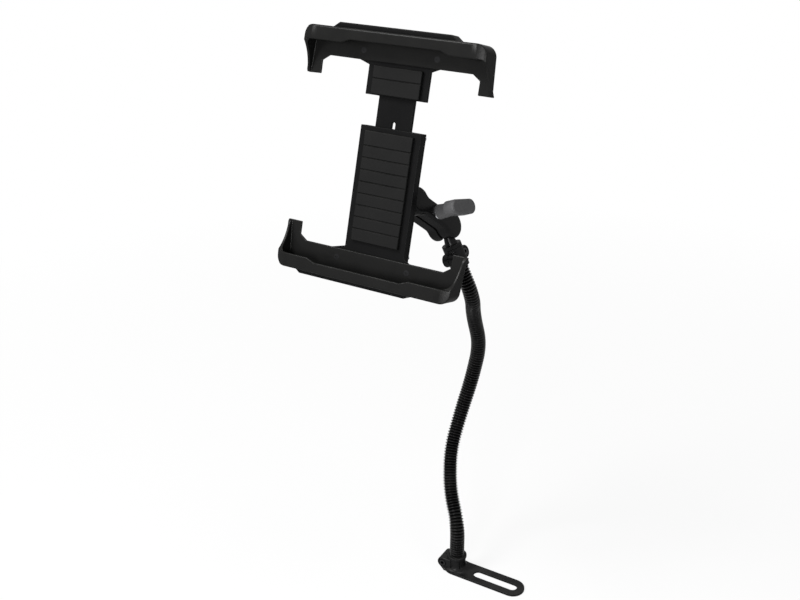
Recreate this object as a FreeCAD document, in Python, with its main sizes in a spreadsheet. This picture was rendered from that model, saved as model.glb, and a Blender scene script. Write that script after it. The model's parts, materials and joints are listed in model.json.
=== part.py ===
"""Tablet mount for a vehicle floor: slotted seat plate, bent rod in a ribbed sleeve, ball arm, sliding cradle.

Millimetres, +Z up. The origin is on the underside of the seat plate, at the middle of its slot. The plate runs
along X, the rod stands at its -X end and the cradle faces -Y.
"""

import FreeCAD, Part
import math
import os
from types import SimpleNamespace

import Sketcher
from FreeCAD import Placement, Rotation, Vector

# Driving dimensions: alias, value, meaning
SIZES = [
    ("plate_width", 30.0, "seat plate across"),
    ("plate_thickness", 3.2, "seat plate thickness"),
    ("plate_reach", 92.3, "rod axis to the far end of the plate"),
    ("slot_width", 12.0, "seat bolt slot across"),
    ("slot_length", 58.3, "seat bolt slot, end to end"),
    ("slot_rim", 9.0, "metal left between the slot and the round end"),
    ("rod_diameter", 12.7, "half inch rod"),
    ("rod_above_plate", 0.3, "rod foot above the plate"),
    ("swivel_gap", 0.05, "radial running clearance of the rod in its clamps"),
    ("part_gap", 0.3, "gap between pieces that move past each other"),
    ("seat_gap", 0.1, "radial clearance of a screw in its hole"),
    ("collar_height", 22.0, "base collar height above the plate's underside"),
    ("collar_radius", 11.1, "base collar outer radius"),
    ("collar_flare", 1.1, "flare of the collar's rim"),
    ("collar_rim", 3.0, "height of the collar's rim"),
    ("collar_rim_slope", 2.5, "height of the slope under the rim"),
    ("foot_round", 8.0, "concave round where the collar meets the plate"),
    ("lug_reach", 14.5, "rod axis to the pinch screw"),
    ("lug_radius", 7.0, "round end of a lug"),
    ("lug_half_width", 11.5, "outer face of a lug from the middle"),
    ("lug_slit", 1.0, "slit between the lugs"),
    ("lug_height", 10.3, "pinch screw above the plate's underside"),
    ("lug_round", 1.5, "round on a lug's outer edges"),
    ("nut_radius", 4.6, "pinch nut corner radius"),
    ("nut_height", 4.0, "pinch nut height"),
    ("clamp_split", 0.6, "gap between the head clamp's halves"),
    ("clamp_bolt_offset", 10.6, "head clamp screw beside the rod axis"),
    ("boss_radius", 7.6, "head clamp boss radius"),
    ("boss_round", 1.0, "round on a boss end"),
    ("sleeve_socket", 6.0, "depth that the sleeve enters a clamp"),
    ("sleeve_crest", 9.0, "sleeve outer radius at a rib"),
    ("sleeve_valley", 7.8, "sleeve outer radius between ribs"),
    ("sleeve_bore_gap", 0.3, "sleeve bore over the rod, radial"),
    ("rib_count", 120.0, "ribs of the sleeve"),
    ("rib_crest_share", 0.3, "share of a rib's pitch that is crest"),
    ("rib_valley_share", 0.3, "share of a rib's pitch that is valley"),
    ("screw_shank", 2.5, "clamp screw shank radius"),
    ("screw_head", 4.2, "clamp screw head radius"),
    ("screw_head_height", 4.0, "clamp screw head height"),
    ("screw_key", 2.3, "hexagon socket corner radius"),
    ("screw_key_depth", 2.4, "hexagon socket depth"),
    ("screw_recess", 5.0, "radius of the recess round a screw head"),
    ("rod_head_grip", 11.0, "rod end above the head clamp's screws"),
    ("head_skirt", 13.0, "head clamp below its screws"),
    ("head_radius", 11.5, "head clamp outer radius"),
    ("head_boss_length", 7.4, "head clamp boss, parting plane to its end"),
    ("head_disc", 4.4, "disc over the rod end"),
    ("ball_radius", 12.7, "one inch ball"),
    ("ball_height", 38.0, "lower ball centre above the head clamp's screws"),
    ("post_radius", 5.0, "ball post radius"),
    ("post_root", 7.5, "ball post radius at its root"),
    ("post_in_ball", 4.0, "post end past the ball centre"),
    ("root_in_ball", 2.0, "post root's slope past the ball's surface"),
    ("arm_spacing", 61.7, "ball centre to ball centre"),
    ("arm_lobe", 15.6, "socket outer radius"),
    ("arm_waist", 10.5, "arm half width at the waist"),
    ("arm_depth", 15.0, "parting plane to the arm's outer face"),
    ("arm_split", 1.5, "parting plane to the arm half's inner face"),
    ("arm_round", 4.0, "round on the arm's outer edge"),
    ("arm_neck_round", 12.0, "round between lobe and waist"),
    ("socket_gap", 0.15, "socket over the ball"),
    ("mouth_half", 9.2, "half the height of a socket mouth"),
    ("mouth_angle", 156.0, "how far a socket mouth runs round the ball"),
    ("arm_bolt_radius", 3.1, "arm bolt radius"),
    ("arm_bolt_head", 6.2, "arm bolt hexagon corner radius"),
    ("arm_bolt_head_height", 3.4, "arm bolt head height"),
    ("spring_outer", 6.8, "arm spring outer radius"),
    ("spring_inner", 5.4, "arm spring inner radius"),
    ("spring_pocket", 6.0, "parting plane to the floor of the spring pocket"),
    ("washer_radius", 8.0, "washer radius"),
    ("washer_thickness", 1.5, "washer thickness"),
    ("knob_length", 35.0, "knob, washer to its end"),
    ("knob_stem", 8.6, "knob stem radius at the washer"),
    ("knob_neck", 6.9, "knob stem radius under its wings"),
    ("knob_wing_reach", 13.5, "knob axis to the centre of a wing's round end"),
    ("knob_wing_radius", 8.5, "round end of a wing"),
    ("knob_wing_depth", 15.0, "wing along the knob's axis"),
    ("knob_round", 2.5, "round on the wing edges"),
    ("insert_radius", 5.5, "threaded insert radius"),
    ("insert_length", 13.0, "threaded insert length"),
    ("bolt_into_knob", 24.0, "bolt end past the washer"),
    ("bolt_room", 3.0, "room in the knob past the bolt's end"),
    ("knob_angle", 28.0, "wing turn about the knob's axis"),
    ("arm_lean", 40.3, "arm leaned forward from the rod's end"),
    ("cradle_lean", 15.9, "cradle leaned back"),
    ("ball_side", 17.8, "upper ball right of the cradle's middle"),
    ("ball_behind", 56.1, "upper ball behind the tablet's face"),
    ("ball_below", 42.0, "upper ball below the cradle's middle"),
    ("base_half_long", 31.0, "diamond base, half its length"),
    ("base_half_wide", 16.5, "diamond base, half its width"),
    ("base_thickness", 3.0, "diamond base plate thickness"),
    ("base_corner", 4.5, "diamond base corner radius"),
    ("base_hole_offset", 24.3, "diamond base hole from its middle"),
    ("base_screw_shank", 2.0, "diamond base screw shank radius"),
    ("base_screw_head", 3.8, "diamond base screw head radius"),
    ("base_screw_head_height", 2.4, "diamond base screw head height"),
    ("base_screw_grip", 3.6, "diamond base screw length in the cover"),
    ("cup_half_height", 133.2, "cradle middle to a cup's end"),
    ("cup_half_width", 110.0, "cup half width at its end"),
    ("cup_splay", 3.2, "how far a side wall leans out at its tip"),
    ("cup_front", 5.0, "cup lip in front of the tablet's face"),
    ("cup_back", 21.5, "cup back wall behind the tablet's face"),
    ("cup_wall", 3.0, "cup wall"),
    ("cup_corner", 12.0, "cup outer corner radius"),
    ("cup_edge_round", 2.5, "round on the cup's front edge"),
    ("lip_end", 18.0, "stretch at each end of a lip that curves back"),
    ("lip_end_back", 3.6, "how far a lip's end curves back"),
    ("room_corner", 8.0, "round inside a cup where its lip meets a side wall"),
    ("lip_corner_height", 15.6, "lip height at the corners"),
    ("lip_middle_height", 11.8, "lip height in its shallow stretch"),
    ("lip_step_outer", 65.0, "half the shallow stretch, at its top"),
    ("lip_step_inner", 54.7, "half the shallow stretch, at its bottom"),
    ("lip_step_side", 4.5, "shallow stretch to the left of the cup's middle"),
    ("side_height", 50.5, "side wall height"),
    ("side_root", 3.0, "side wall edge in front of the face, at the lip"),
    ("side_tip_depth", 14.0, "side wall edge behind the face, near its tip"),
    ("side_tip_height", 43.0, "height where the side wall's tip starts to round"),
    ("side_sweep", 55.0, "radius of the side wall's front edge"),
    ("side_tip_round", 12.0, "radius of the side wall's tip"),
    ("back_height", 30.0, "cup back wall height in the middle"),
    ("back_rail", 13.0, "width of the back wall beside a side wall"),
    ("back_rail_rise", 6.0, "height of the slanted foot of a back rail"),
    ("back_rail_run", 9.0, "width of the slanted foot of a back rail"),
    ("tip_flare", 1.8, "flare at the tip of a side wall"),
    ("tip_flare_height", 6.0, "height of the flare"),
    ("cup_screw_spacing", 90.0, "cup screws apart"),
    ("cup_screw_height", 20.0, "cup screws above the cup's end"),
    ("cup_screw_shank", 1.6, "cup screw shank radius"),
    ("cup_screw_head", 3.3, "cup screw head radius"),
    ("cup_screw_cross", 0.4, "half width of a cup screw's slot"),
    ("hook_half_tip", 68.0, "hook half width at its edge"),
    ("hook_half_root", 76.0, "hook half width at the cup"),
    ("hook_side_low", 17.0, "lower hook's middle left of the cradle's"),
    ("hook_side_high", 5.0, "upper hook's middle left of the cradle's"),
    ("hook_depth", 5.7, "hook past the cup's end"),
    ("hook_front", 8.0, "hook front edge behind the tablet's face"),
    ("hook_gap", 0.3, "hook clear of the cup's end"),
    ("hook_round", 1.2, "round on the hook's outer edge"),
    ("hook_plate_height", 34.0, "hook plate above the cup's end"),
    ("hook_shoulder", 14.0, "slanted shoulder of the hook plate"),
    ("housing_half", 38.0, "housing half width"),
    ("housing_top", 35.0, "housing top above the cradle's middle"),
    ("housing_bottom", 104.0, "housing floor below the cradle's middle"),
    ("housing_front_wall", 2.7, "housing front wall"),
    ("housing_wall", 5.0, "housing side wall"),
    ("cover_thickness", 4.2, "rear cover thickness"),
    ("cover_round", 2.5, "round on the cover's rear edges"),
    ("bar_thickness", 5.0, "slider bar thickness"),
    ("bar_bottom", 60.0, "slider bar end below the cradle's middle"),
    ("ear_gap", 1.5, "slider ear to the housing's side wall"),
    ("ear_height", 8.0, "slider ear height"),
    ("ear_below", 10.0, "slider ear's lower edge below the cradle's middle"),
    ("riser_bottom", 68.0, "slider riser start above the cradle's middle"),
    ("stretch_in", 25.0, "slider travel inwards"),
    ("stretch_out", 20.0, "slider travel outwards"),
    ("stop_height", 15.0, "stop screw above the cradle's middle"),
    ("stop_radius", 2.3, "stop screw radius"),
    ("stop_head", 4.0, "stop screw head radius"),
    ("pin_radius", 1.3, "spring pin radius"),
    ("pin_inset", 4.0, "spring pin from the end of its ear"),
    ("coil_gap", 3.1, "tension spring to the slider bar"),
    ("coil_radius", 2.4, "tension spring outer radius"),
    ("coil_bore", 1.6, "tension spring inner radius"),
    ("pad_front", 17.6, "pad face behind the tablet's face"),
    ("pad_half", 30.0, "pad half width"),
    ("pad_groove", 1.2, "groove depth in a pad"),
    ("pad_groove_pitch", 13.0, "groove pitch in a pad"),
    ("cover_screw_shank", 1.4, "cover screw shank radius"),
    ("cover_screw_head", 2.5, "cover screw head radius"),
]

# Corner points of the rod's bent line, from the rod's foot on the plate
ROD_ROUTE = [
    (0.0, 0.0, 66.0),
    (-24.1, 22.7, 98.0),
    (-37.5, 47.5, 138.0),
    (-35.8, 69.1, 180.0),
    (-28.4, 83.2, 226.0),
    (-20.1, 85.3, 274.0),
    (-24.0, 72.4, 318.0),
    (-12.8, 47.1, 354.8),
    (-37.2, 40.7, 413.6),
]
BEND_SHARE = 0.45
# How near two lengths are when they count as the same
NEAR = 1e-3

doc = FreeCAD.newDocument("tablet_mount")
sheet = doc.addObject("Spreadsheet::Sheet", "sizes")
for row, (alias, value, meaning) in enumerate(SIZES, start=1):
    sheet.set(f"A{row}", meaning)
    sheet.set(f"B{row}", str(value))
    sheet.setAlias(f"B{row}", alias)
doc.recompute()


class Size:
    """A length that carries both its number and the sheet expression that gives it."""

    def __init__(self, value, text):
        self.value = float(value)
        self.text = text

    def __add__(self, other):
        other = as_size(other)
        return Size(self.value + other.value, f"({self.text} + {other.text})")

    def __sub__(self, other):
        other = as_size(other)
        return Size(self.value - other.value, f"({self.text} - {other.text})")

    def __mul__(self, factor):
        factor = as_size(factor)
        return Size(self.value * factor.value, f"({self.text} * {factor.text})")

    def __truediv__(self, factor):
        factor = as_size(factor)
        return Size(self.value / factor.value, f"({self.text} / {factor.text})")

    def __neg__(self):
        return Size(-self.value, f"(0 - {self.text})")

    __radd__ = __add__
    __rmul__ = __mul__

    def __rsub__(self, other):
        return as_size(other) - self


def as_size(number):
    if isinstance(number, Size):
        return number
    if number < 0:
        return Size(number, f"(0 - {-number})")
    return Size(number, str(float(number)))


s = SimpleNamespace(**{alias: Size(sheet.get(alias), f"sizes.{alias}") for alias, value, meaning in SIZES})


def bind(thing, prop, size):
    """Give a property its number and the expression that drives it."""
    size = as_size(size)
    thing.setExpression(prop, size.text)


def bind_base(thing, x, y, z, path="Placement"):
    for letter, size in zip("xyz", (x, y, z)):
        bind(thing, f"{path}.Base.{letter}", size)


# Rotations that carry a primitive's own Z axis onto X or Y
AXIS_TURN = {
    "x": Rotation(Vector(0, 1, 0), 90),
    "y": Rotation(Vector(1, 0, 0), -90),
    "z": Rotation(),
}


def box(name, x, y, z):
    """A box from its low and high values on each axis."""
    item = doc.addObject("Part::Box", name)
    for prop, (low, high) in zip(("Length", "Width", "Height"), (x, y, z)):
        bind(item, prop, as_size(high) - low)
    bind_base(item, x[0], y[0], z[0])
    return item


def stand(item, axis, span, centre):
    """Put a round primitive on its axis, from the low end of its span, at its centre on the other two axes."""
    item.Placement = Placement(Vector(), AXIS_TURN[axis])
    first, second = centre
    where = {"x": (span[0], first, second), "y": (first, span[0], second), "z": (first, second, span[0])}
    bind_base(item, *where[axis])


def cylinder(name, radius, axis, span, centre=(0, 0)):
    item = doc.addObject("Part::Cylinder", name)
    bind(item, "Radius", radius)
    bind(item, "Height", as_size(span[1]) - span[0])
    stand(item, axis, span, centre)
    return item


def cone(name, low_radius, high_radius, axis, span, centre=(0, 0)):
    item = doc.addObject("Part::Cone", name)
    bind(item, "Radius1", low_radius)
    bind(item, "Radius2", high_radius)
    bind(item, "Height", as_size(span[1]) - span[0])
    stand(item, axis, span, centre)
    return item


def prism(name, corner_radius, axis, span, centre=(0, 0)):
    item = doc.addObject("Part::Prism", name)
    item.Polygon = 6
    bind(item, "Circumradius", corner_radius)
    bind(item, "Height", as_size(span[1]) - span[0])
    stand(item, axis, span, centre)
    return item


def ball(name, radius, x=0, y=0, z=0):
    item = doc.addObject("Part::Sphere", name)
    bind(item, "Radius", radius)
    bind_base(item, x, y, z)
    return item


def torus(name, ring, section, z):
    item = doc.addObject("Part::Torus", name)
    bind(item, "Radius1", ring)
    bind(item, "Radius2", section)
    bind_base(item, 0, 0, z)
    return item


def fuse(name, pieces):
    item = doc.addObject("Part::MultiFuse", name)
    item.Shapes = pieces
    item.Refine = True
    return item


def cut(name, base, tools):
    item = doc.addObject("Part::Cut", name)
    item.Base = base
    item.Tool = tools[0] if len(tools) == 1 else fuse(name + "_tools", tools)
    item.Refine = True
    return item


def common(name, first, second):
    item = doc.addObject("Part::MultiCommon", name)
    item.Shapes = [first, second]
    return item


def group(name, pieces):
    """Separate solids that share one node."""
    item = doc.addObject("Part::Compound", name)
    item.Links = pieces
    return item


def edges_where(shape, test):
    """Numbers of the edges that pass a test."""
    return [n for n, edge in enumerate(shape.Edges, start=1) if test(edge)]


def rounded(name, base, radius, test):
    """Round the edges of a solid that pass a test."""
    doc.recompute()
    item = doc.addObject("Part::Fillet", name)
    item.Base = base
    item.Edges = [(n, radius.value, radius.value) for n in edges_where(base.Shape, test)]
    return item


def along(edge, axis):
    """Whether a straight edge runs along an axis."""
    if not isinstance(edge.Curve, Part.Line):
        return False
    return abs(abs(edge.Curve.Direction.dot(axis)) - 1) < NEAR


def in_plane(axis, value):
    """A test for edges that lie in one plane square to an axis."""

    def test(edge):
        span = edge.BoundBox
        low, high = getattr(span, axis + "Min"), getattr(span, axis + "Max")
        return abs(low - value.value) < NEAR and abs(high - value.value) < NEAR

    return test


def at_place(edge, axis, value):
    """Whether an edge's middle is at a place on an axis."""
    return abs(abs(edge.CenterOfMass.dot(axis)) - value.value) < NEAR


X_AXIS = Vector(1, 0, 0)
Y_AXIS = Vector(0, 1, 0)
Z_AXIS = Vector(0, 0, 1)


# Sketched bodies
def new_body(name):
    return doc.addObject("PartDesign::Body", name)


def new_sketch(body, role, name, offset=0):
    """A sketch on one of the body's own planes, moved along that plane's normal."""
    sketch = body.newObject("Sketcher::SketchObject", name)
    plane = next(item for item in body.Origin.OriginFeatures if item.Role == role)
    sketch.AttachmentSupport = [(plane, "")]
    sketch.MapMode = "FlatFace"
    bind(sketch, "AttachmentOffset.Base.z", offset)
    return sketch


def tie_point(sketch, edge, end, x, y):
    """Hold one end of an edge at its place from the sketch's origin."""
    for kind, size in (("DistanceX", x), ("DistanceY", y)):
        size = as_size(size)
        if abs(size.value) < NEAR:
            axis = -2 if kind == "DistanceX" else -1
            sketch.addConstraint(Sketcher.Constraint("PointOnObject", edge, end, axis))
            continue
        index = sketch.addConstraint(Sketcher.Constraint(kind, -1, 1, edge, end, size.value))
        bind(sketch, f"Constraints[{index}]", size)


def outline(sketch, corners):
    """A closed outline. A corner is (x, y), or (x, y, radius) where an arc arrives; a negative radius turns right."""
    points = [(as_size(corner[0]), as_size(corner[1])) for corner in corners]
    edges = []
    for n, corner in enumerate(corners):
        start = Vector(points[n - 1][0].value, points[n - 1][1].value, 0)
        end = Vector(points[n][0].value, points[n][1].value, 0)
        if len(corner) == 2:
            edges.append(sketch.addGeometry(Part.LineSegment(start, end)))
            continue
        edges.append(sketch.addGeometry(Part.Arc(start, arc_middle(start, end, corner[2].value), end)))
    for n, corner in enumerate(corners):
        following = (n + 1) % len(corners)
        here = arrival(corners, n, points)
        there = departure(corners, following, points)
        sketch.addConstraint(Sketcher.Constraint("Coincident", edges[n], here, edges[following], there))
        tie_point(sketch, edges[n], here, *points[n])
    for n, corner in enumerate(corners):
        if len(corner) == 3:
            size = corner[2] if corner[2].value > 0 else -corner[2]
            index = sketch.addConstraint(Sketcher.Constraint("Radius", edges[n], size.value))
            bind(sketch, f"Constraints[{index}]", size)


def arc_middle(start, end, radius):
    """The middle of the short arc from start to end that turns left, or right where the radius is negative."""
    chord = end - start
    half = chord.Length / 2
    rise = abs(radius) - math.sqrt(max(radius * radius - half * half, 0))
    side = Vector(chord.y, -chord.x, 0).normalize()
    return (start + end) * 0.5 + side * math.copysign(rise, radius)


def arrival(corners, n, points):
    """Which end of edge n lies at its own corner: a sketched arc runs anticlockwise, whatever way it was drawn."""
    return 1 if len(corners[n]) == 3 and corners[n][2].value < 0 else 2


def departure(corners, n, points):
    return 2 if len(corners[n]) == 3 and corners[n][2].value < 0 else 1


def pad(body, sketch, name, length, reverse=False):
    item = body.newObject("PartDesign::Pad", name)
    item.Profile = sketch
    item.Reversed = reverse
    bind(item, "Length", length)
    return item


def pocket(body, sketch, name, length, both=False):
    """Cut from the sketch against its normal, or to both sides of it."""
    item = body.newObject("PartDesign::Pocket", name)
    item.Profile = sketch
    item.SideType = "Symmetric" if both else "One side"
    bind(item, "Length", length)
    return item


def soften(body, base, name, radius, test):
    """Round the edges of a body's last feature that pass a test."""
    doc.recompute()
    item = body.newObject("PartDesign::Fillet", name)
    item.Base = (base, [f"Edge{n}" for n in edges_where(base.Shape, test)])
    bind(item, "Radius", radius)
    return item


# Frames: where each group of pieces stands
slot_middle = s.plate_reach - s.slot_rim - s.slot_length / 2
foot_frame = Placement(Vector(-slot_middle.value, 0, 0), Rotation())


class Span:
    """A straight run, or a bend about a centre where a radius is given."""

    def __init__(self, start, end, length, centre=None, radius=None):
        self.start = start
        self.end = end
        self.length = length
        self.centre = centre
        self.radius = radius

    def at(self, distance):
        """Point and direction at a distance along the span."""
        if self.radius is None:
            direction = (self.end - self.start).normalize()
            return self.start + direction * distance, direction
        first = (self.start - self.centre).normalize()
        last = (self.end - self.centre).normalize()
        across = (last - first * first.dot(last)).normalize()
        angle = distance / self.radius
        point = self.centre + (first * math.cos(angle) + across * math.sin(angle)) * self.radius
        return point, across * math.cos(angle) - first * math.sin(angle)


class Route:
    """Straight runs joined by tangent arcs, measured along their length."""

    def __init__(self, corners):
        self.spans = []
        here = corners[0]
        for before, corner, after in zip(corners[:-2], corners[1:-1], corners[2:]):
            reach = BEND_SHARE * min((corner - before).Length, (after - corner).Length)
            inward = (before - corner).normalize()
            outward = (after - corner).normalize()
            half_turn = (math.pi - inward.getAngle(outward)) / 2
            radius = reach / math.tan(half_turn)
            start = corner + inward * reach
            end = corner + outward * reach
            centre = corner + (inward + outward).normalize() * math.hypot(radius, reach)
            self.spans.append(Span(here, start, (start - here).Length))
            self.spans.append(Span(start, end, 2 * half_turn * radius, centre, radius))
            here = end
        self.spans.append(Span(here, corners[-1], (corners[-1] - here).Length))
        self.length = sum(span.length for span in self.spans)

    def at(self, distance):
        """Point and direction at a distance along the route."""
        for span in self.spans[:-1]:
            if distance <= span.length:
                return span.at(distance)
            distance -= span.length
        return self.spans[-1].at(distance)

    def radii(self):
        return [round(span.radius, 1) for span in self.spans if span.radius]


rod_foot = Vector(0, 0, (s.plate_thickness + s.rod_above_plate).value)
route = Route([rod_foot] + [Vector(*corner) for corner in ROD_ROUTE])
rod_end, rod_lean = route.at(route.length)


def frame_of(origin, z_axis, x_hint):
    """A placement whose Z axis is given and whose X axis is as near as it can be to a hint."""
    x_axis = (x_hint - z_axis * x_hint.dot(z_axis)).normalize()
    return Placement(origin, Rotation(x_axis, z_axis.cross(x_axis), z_axis, "ZXY"))


# The head clamp's origin is on the rod's axis, level with its screws
head_origin = rod_end - rod_lean * s.rod_head_grip.value
head_frame = foot_frame.multiply(frame_of(head_origin, rod_lean, X_AXIS))
# The arm's origin is the lower ball's centre, its Z axis runs to the upper ball and its X axis is the knob's
arm_offset = Placement(Vector(0, 0, s.ball_height.value), Rotation(X_AXIS, s.arm_lean.value))
arm_frame = head_frame.multiply(arm_offset)
# The cradle's origin is the middle of the tablet's face
upper_centre = arm_frame.multVec(Vector(0, 0, s.arm_spacing.value))
cradle_turn = Rotation(X_AXIS, -s.cradle_lean.value)
ball_in_cradle = Vector(s.ball_side.value, s.ball_behind.value, -s.ball_below.value)
cradle_frame = Placement(upper_centre - cradle_turn.multVec(ball_in_cradle), cradle_turn)
lower_cup_frame = cradle_frame.multiply(Placement(Vector(0, 0, -s.cup_half_height.value), Rotation()))
turned_over = Placement(Vector(0, 0, s.cup_half_height.value), Rotation(Y_AXIS, 180))
upper_cup_frame = cradle_frame.multiply(turned_over)

NODES = []


def finish(item, name, frame):
    """Name a sub-part, put it in its frame and list it for writing."""
    item.Label = name
    doc.recompute()
    item.Placement = frame.multiply(item.Placement)
    NODES.append(item)


half_split = s.clamp_split / 2
rod_radius = s.rod_diameter / 2
clamp_bore = rod_radius + s.swivel_gap
socket_radius = s.sleeve_crest + s.part_gap


def clamp_voids(name, top, bottom, socket_low, socket_high):
    """The rod's bore and the sleeve's socket, shared by both halves of a clamp."""
    bore = cylinder(name + "_bore", clamp_bore, "z", (bottom, top))
    socket = cylinder(name + "_socket", socket_radius, "z", (socket_low, socket_high))
    return [bore, socket]


def beside_rod(name, radius, span):
    """A pair of cylinders along X, one on each side of the rod."""
    sides = (("front", -s.clamp_bolt_offset), ("rear", s.clamp_bolt_offset))
    return [cylinder(f"{name}_{side}", radius, "x", span, (y, 0)) for side, y in sides]


# Seat plate with the rod's pinch collar
def make_base_plate():
    half = s.plate_width / 2
    top = s.plate_thickness
    height = s.collar_height
    round_centre = s.plate_reach - half
    plate = box("plate_flat", (0, round_centre), (-half, half), (0, top))
    ends = [cylinder(f"plate_end_{n}", half, "z", (0, top), (x, 0)) for n, x in enumerate((0, round_centre))]
    # Collar with a flared rim and a concave foot
    rim_low = height - s.collar_rim
    slope_low = rim_low - s.collar_rim_slope
    rim_radius = s.collar_radius + s.collar_flare
    wall = cylinder("collar_wall", s.collar_radius, "z", (0, height))
    slope = cone("collar_slope", s.collar_radius, rim_radius, "z", (slope_low, rim_low))
    rim = cylinder("collar_rim", rim_radius, "z", (rim_low, height))
    foot_radius = s.collar_radius + s.foot_round
    foot_disc = cylinder("foot_disc", foot_radius, "z", (top, top + s.foot_round))
    foot_ring = torus("foot_ring", foot_radius, s.foot_round, top + s.foot_round)
    foot_strip = box("foot_strip", (-s.collar_radius, foot_radius), (-half, half), (top, top + s.foot_round))
    foot = common("foot", cut("foot_cut", foot_disc, [foot_ring]), foot_strip)
    # Lugs at the collar's -X side, drawn together by a screw
    lug_top = s.lug_height + s.lug_radius
    reach = -s.lug_reach
    web = box("lug_web", (reach, 0), (-s.lug_half_width, s.lug_half_width), (top, lug_top))
    lug_end = cylinder("lug_end", s.lug_radius, "y", (-s.lug_half_width, s.lug_half_width), (reach, s.lug_height))
    soft_end = rounded("lug_soft", fuse("lugs", [web, lug_end]), s.lug_round, in_outer_face_of_lug)
    solid = fuse("plate_solid", [plate, wall, slope, rim, foot, soft_end] + ends)
    slot_end = s.plate_reach - s.slot_rim - s.slot_width / 2
    slot_start = slot_end - s.slot_length + s.slot_width
    slot_half = s.slot_width / 2
    slot = [box("slot_run", (slot_start, slot_end), (-slot_half, slot_half), (-1, top + 1))]
    slot += [cylinder(f"slot_{n}", slot_half, "z", (-1, top + 1), (x, 0)) for n, x in enumerate((slot_start, slot_end))]
    voids = clamp_voids("base", height + 1, top, height - s.sleeve_socket, height + 1)
    slit = box("lug_gap", (reach - s.lug_radius - 1, 0), (-s.lug_slit / 2, s.lug_slit / 2), (top, height + 1))
    centre = (reach, s.lug_height)
    hole = cylinder("lug_hole", s.screw_shank + s.seat_gap, "y", (-s.lug_half_width, s.lug_half_width), centre)
    head_floor = s.screw_head_height - s.lug_half_width
    recess = cylinder("lug_recess", s.screw_recess, "y", (-s.lug_half_width - 1, head_floor), centre)
    nut_floor = s.lug_half_width - s.nut_height
    nut_room = prism("lug_nut_room", s.nut_radius + s.seat_gap, "y", (nut_floor, s.lug_half_width + 1), centre)
    finish(cut("base_plate", solid, slot + voids + [slit, hole, recess, nut_room]), "base_plate", foot_frame)


def in_outer_face_of_lug(edge):
    """Whether a lug's edge lies in its outer face and not where the lug meets the plate or the collar."""
    flat = in_plane("Y", s.lug_half_width)(edge) or in_plane("Y", -s.lug_half_width)(edge)
    return flat and edge.BoundBox.XMin < -NEAR and edge.BoundBox.ZMax > s.plate_thickness.value + NEAR


def make_base_screw():
    centre = (-s.lug_reach, s.lug_height)
    outer = s.lug_half_width
    seat = s.screw_head_height - outer
    head = cylinder("base_screw_head", s.screw_head, "y", (-outer, seat), centre)
    shank = cylinder("base_screw_shank", s.screw_shank, "y", (seat, outer - s.clamp_split), centre)
    key = prism("base_screw_key", s.screw_key, "y", (-outer - 1, s.screw_key_depth - outer), centre)
    finish(cut("base_screw_whole", fuse("base_screw_body", [head, shank]), [key]), "base_clamp_screw", foot_frame)
    nut = prism("base_nut_body", s.nut_radius, "y", (outer - s.nut_height, outer), centre)
    thread = cylinder("base_nut_thread", s.screw_shank, "y", (outer - s.nut_height - 1, outer + 1), centre)
    finish(cut("base_nut_whole", nut, [thread]), "base_clamp_nut", foot_frame)


# Bent rod and its ribbed sleeve
def disc_at(distance, radius):
    """A circle square to the route, with its start kept towards +X."""
    point, direction = route.at(distance)
    circle = Part.Circle(Vector(), Z_AXIS, radius).toShape()
    circle.Placement = frame_of(point, direction, X_AXIS)
    return Part.Wire([circle])


def bar_along(start, end, radius):
    """A round bar along the route: a cylinder on each run and a piece of a torus on each bend."""
    pieces = []
    passed = 0.0
    for span in route.spans:
        low, high = max(start, passed), min(end, passed + span.length)
        passed += span.length
        if high - low < NEAR:
            continue
        disc = Part.Face(disc_at(low, radius))
        first, direction = route.at(low)
        if span.radius is None:
            pieces.append(disc.extrude(direction * (high - low)))
            continue
        axis = (first - span.centre).cross(direction).normalize()
        pieces.append(disc.revolve(span.centre, axis, math.degrees((high - low) / span.radius)))
    return pieces[0].fuse(pieces[1:]).removeSplitter()


def make_rod():
    bar = bar_along(0, route.length, rod_radius.value)
    wanted = math.pi * rod_radius.value**2 * route.length
    print("rod volume over section times length", round(bar.Volume / wanted, 5))
    print("rod length", round(route.length, 1), "bend radii", route.radii())
    item = doc.addObject("Part::Feature", "flex_rod")
    item.Shape = bar
    finish(item, "flex_rod", foot_frame)


def make_sleeve():
    start = (s.collar_height - s.sleeve_socket + s.part_gap).value - rod_foot.z
    below_rod_end = s.rod_head_grip + s.head_skirt - s.sleeve_socket + s.part_gap
    end = route.length - below_rod_end.value
    ribs = int(round(s.rib_count.value))
    pitch = (end - start) / ribs
    valley, crest = s.sleeve_valley.value, s.sleeve_crest.value
    # Each rib rises from its valley, runs level at its crest and falls again
    flank = (1 - s.rib_crest_share.value - s.rib_valley_share.value) / 2
    low = s.rib_valley_share.value / 2
    steps = [(low, valley), (low + flank, crest), (1 - low - flank, crest), (1 - low, valley)]
    rings = [disc_at(start, valley)]
    for rib in range(ribs):
        rings += [disc_at(start + (rib + share) * pitch, radius) for share, radius in steps]
    rings.append(disc_at(end, valley))
    ribbed = Part.makeLoft(rings, True, True)
    bore = bar_along(start - 1, end + 1, (rod_radius + s.sleeve_bore_gap).value)
    item = doc.addObject("Part::Feature", "ribbed_sleeve")
    item.Shape = ribbed.cut(bore)
    print("sleeve rib pitch", round(pitch, 2), "length", round(end - start, 1))
    finish(item, "ribbed_sleeve", foot_frame)


# Head clamp on the rod's upper end, with the lower ball's post
disc_low = s.rod_head_grip + s.part_gap
disc_high = disc_low + s.head_disc
head_socket_high = s.sleeve_socket - s.head_skirt


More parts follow.
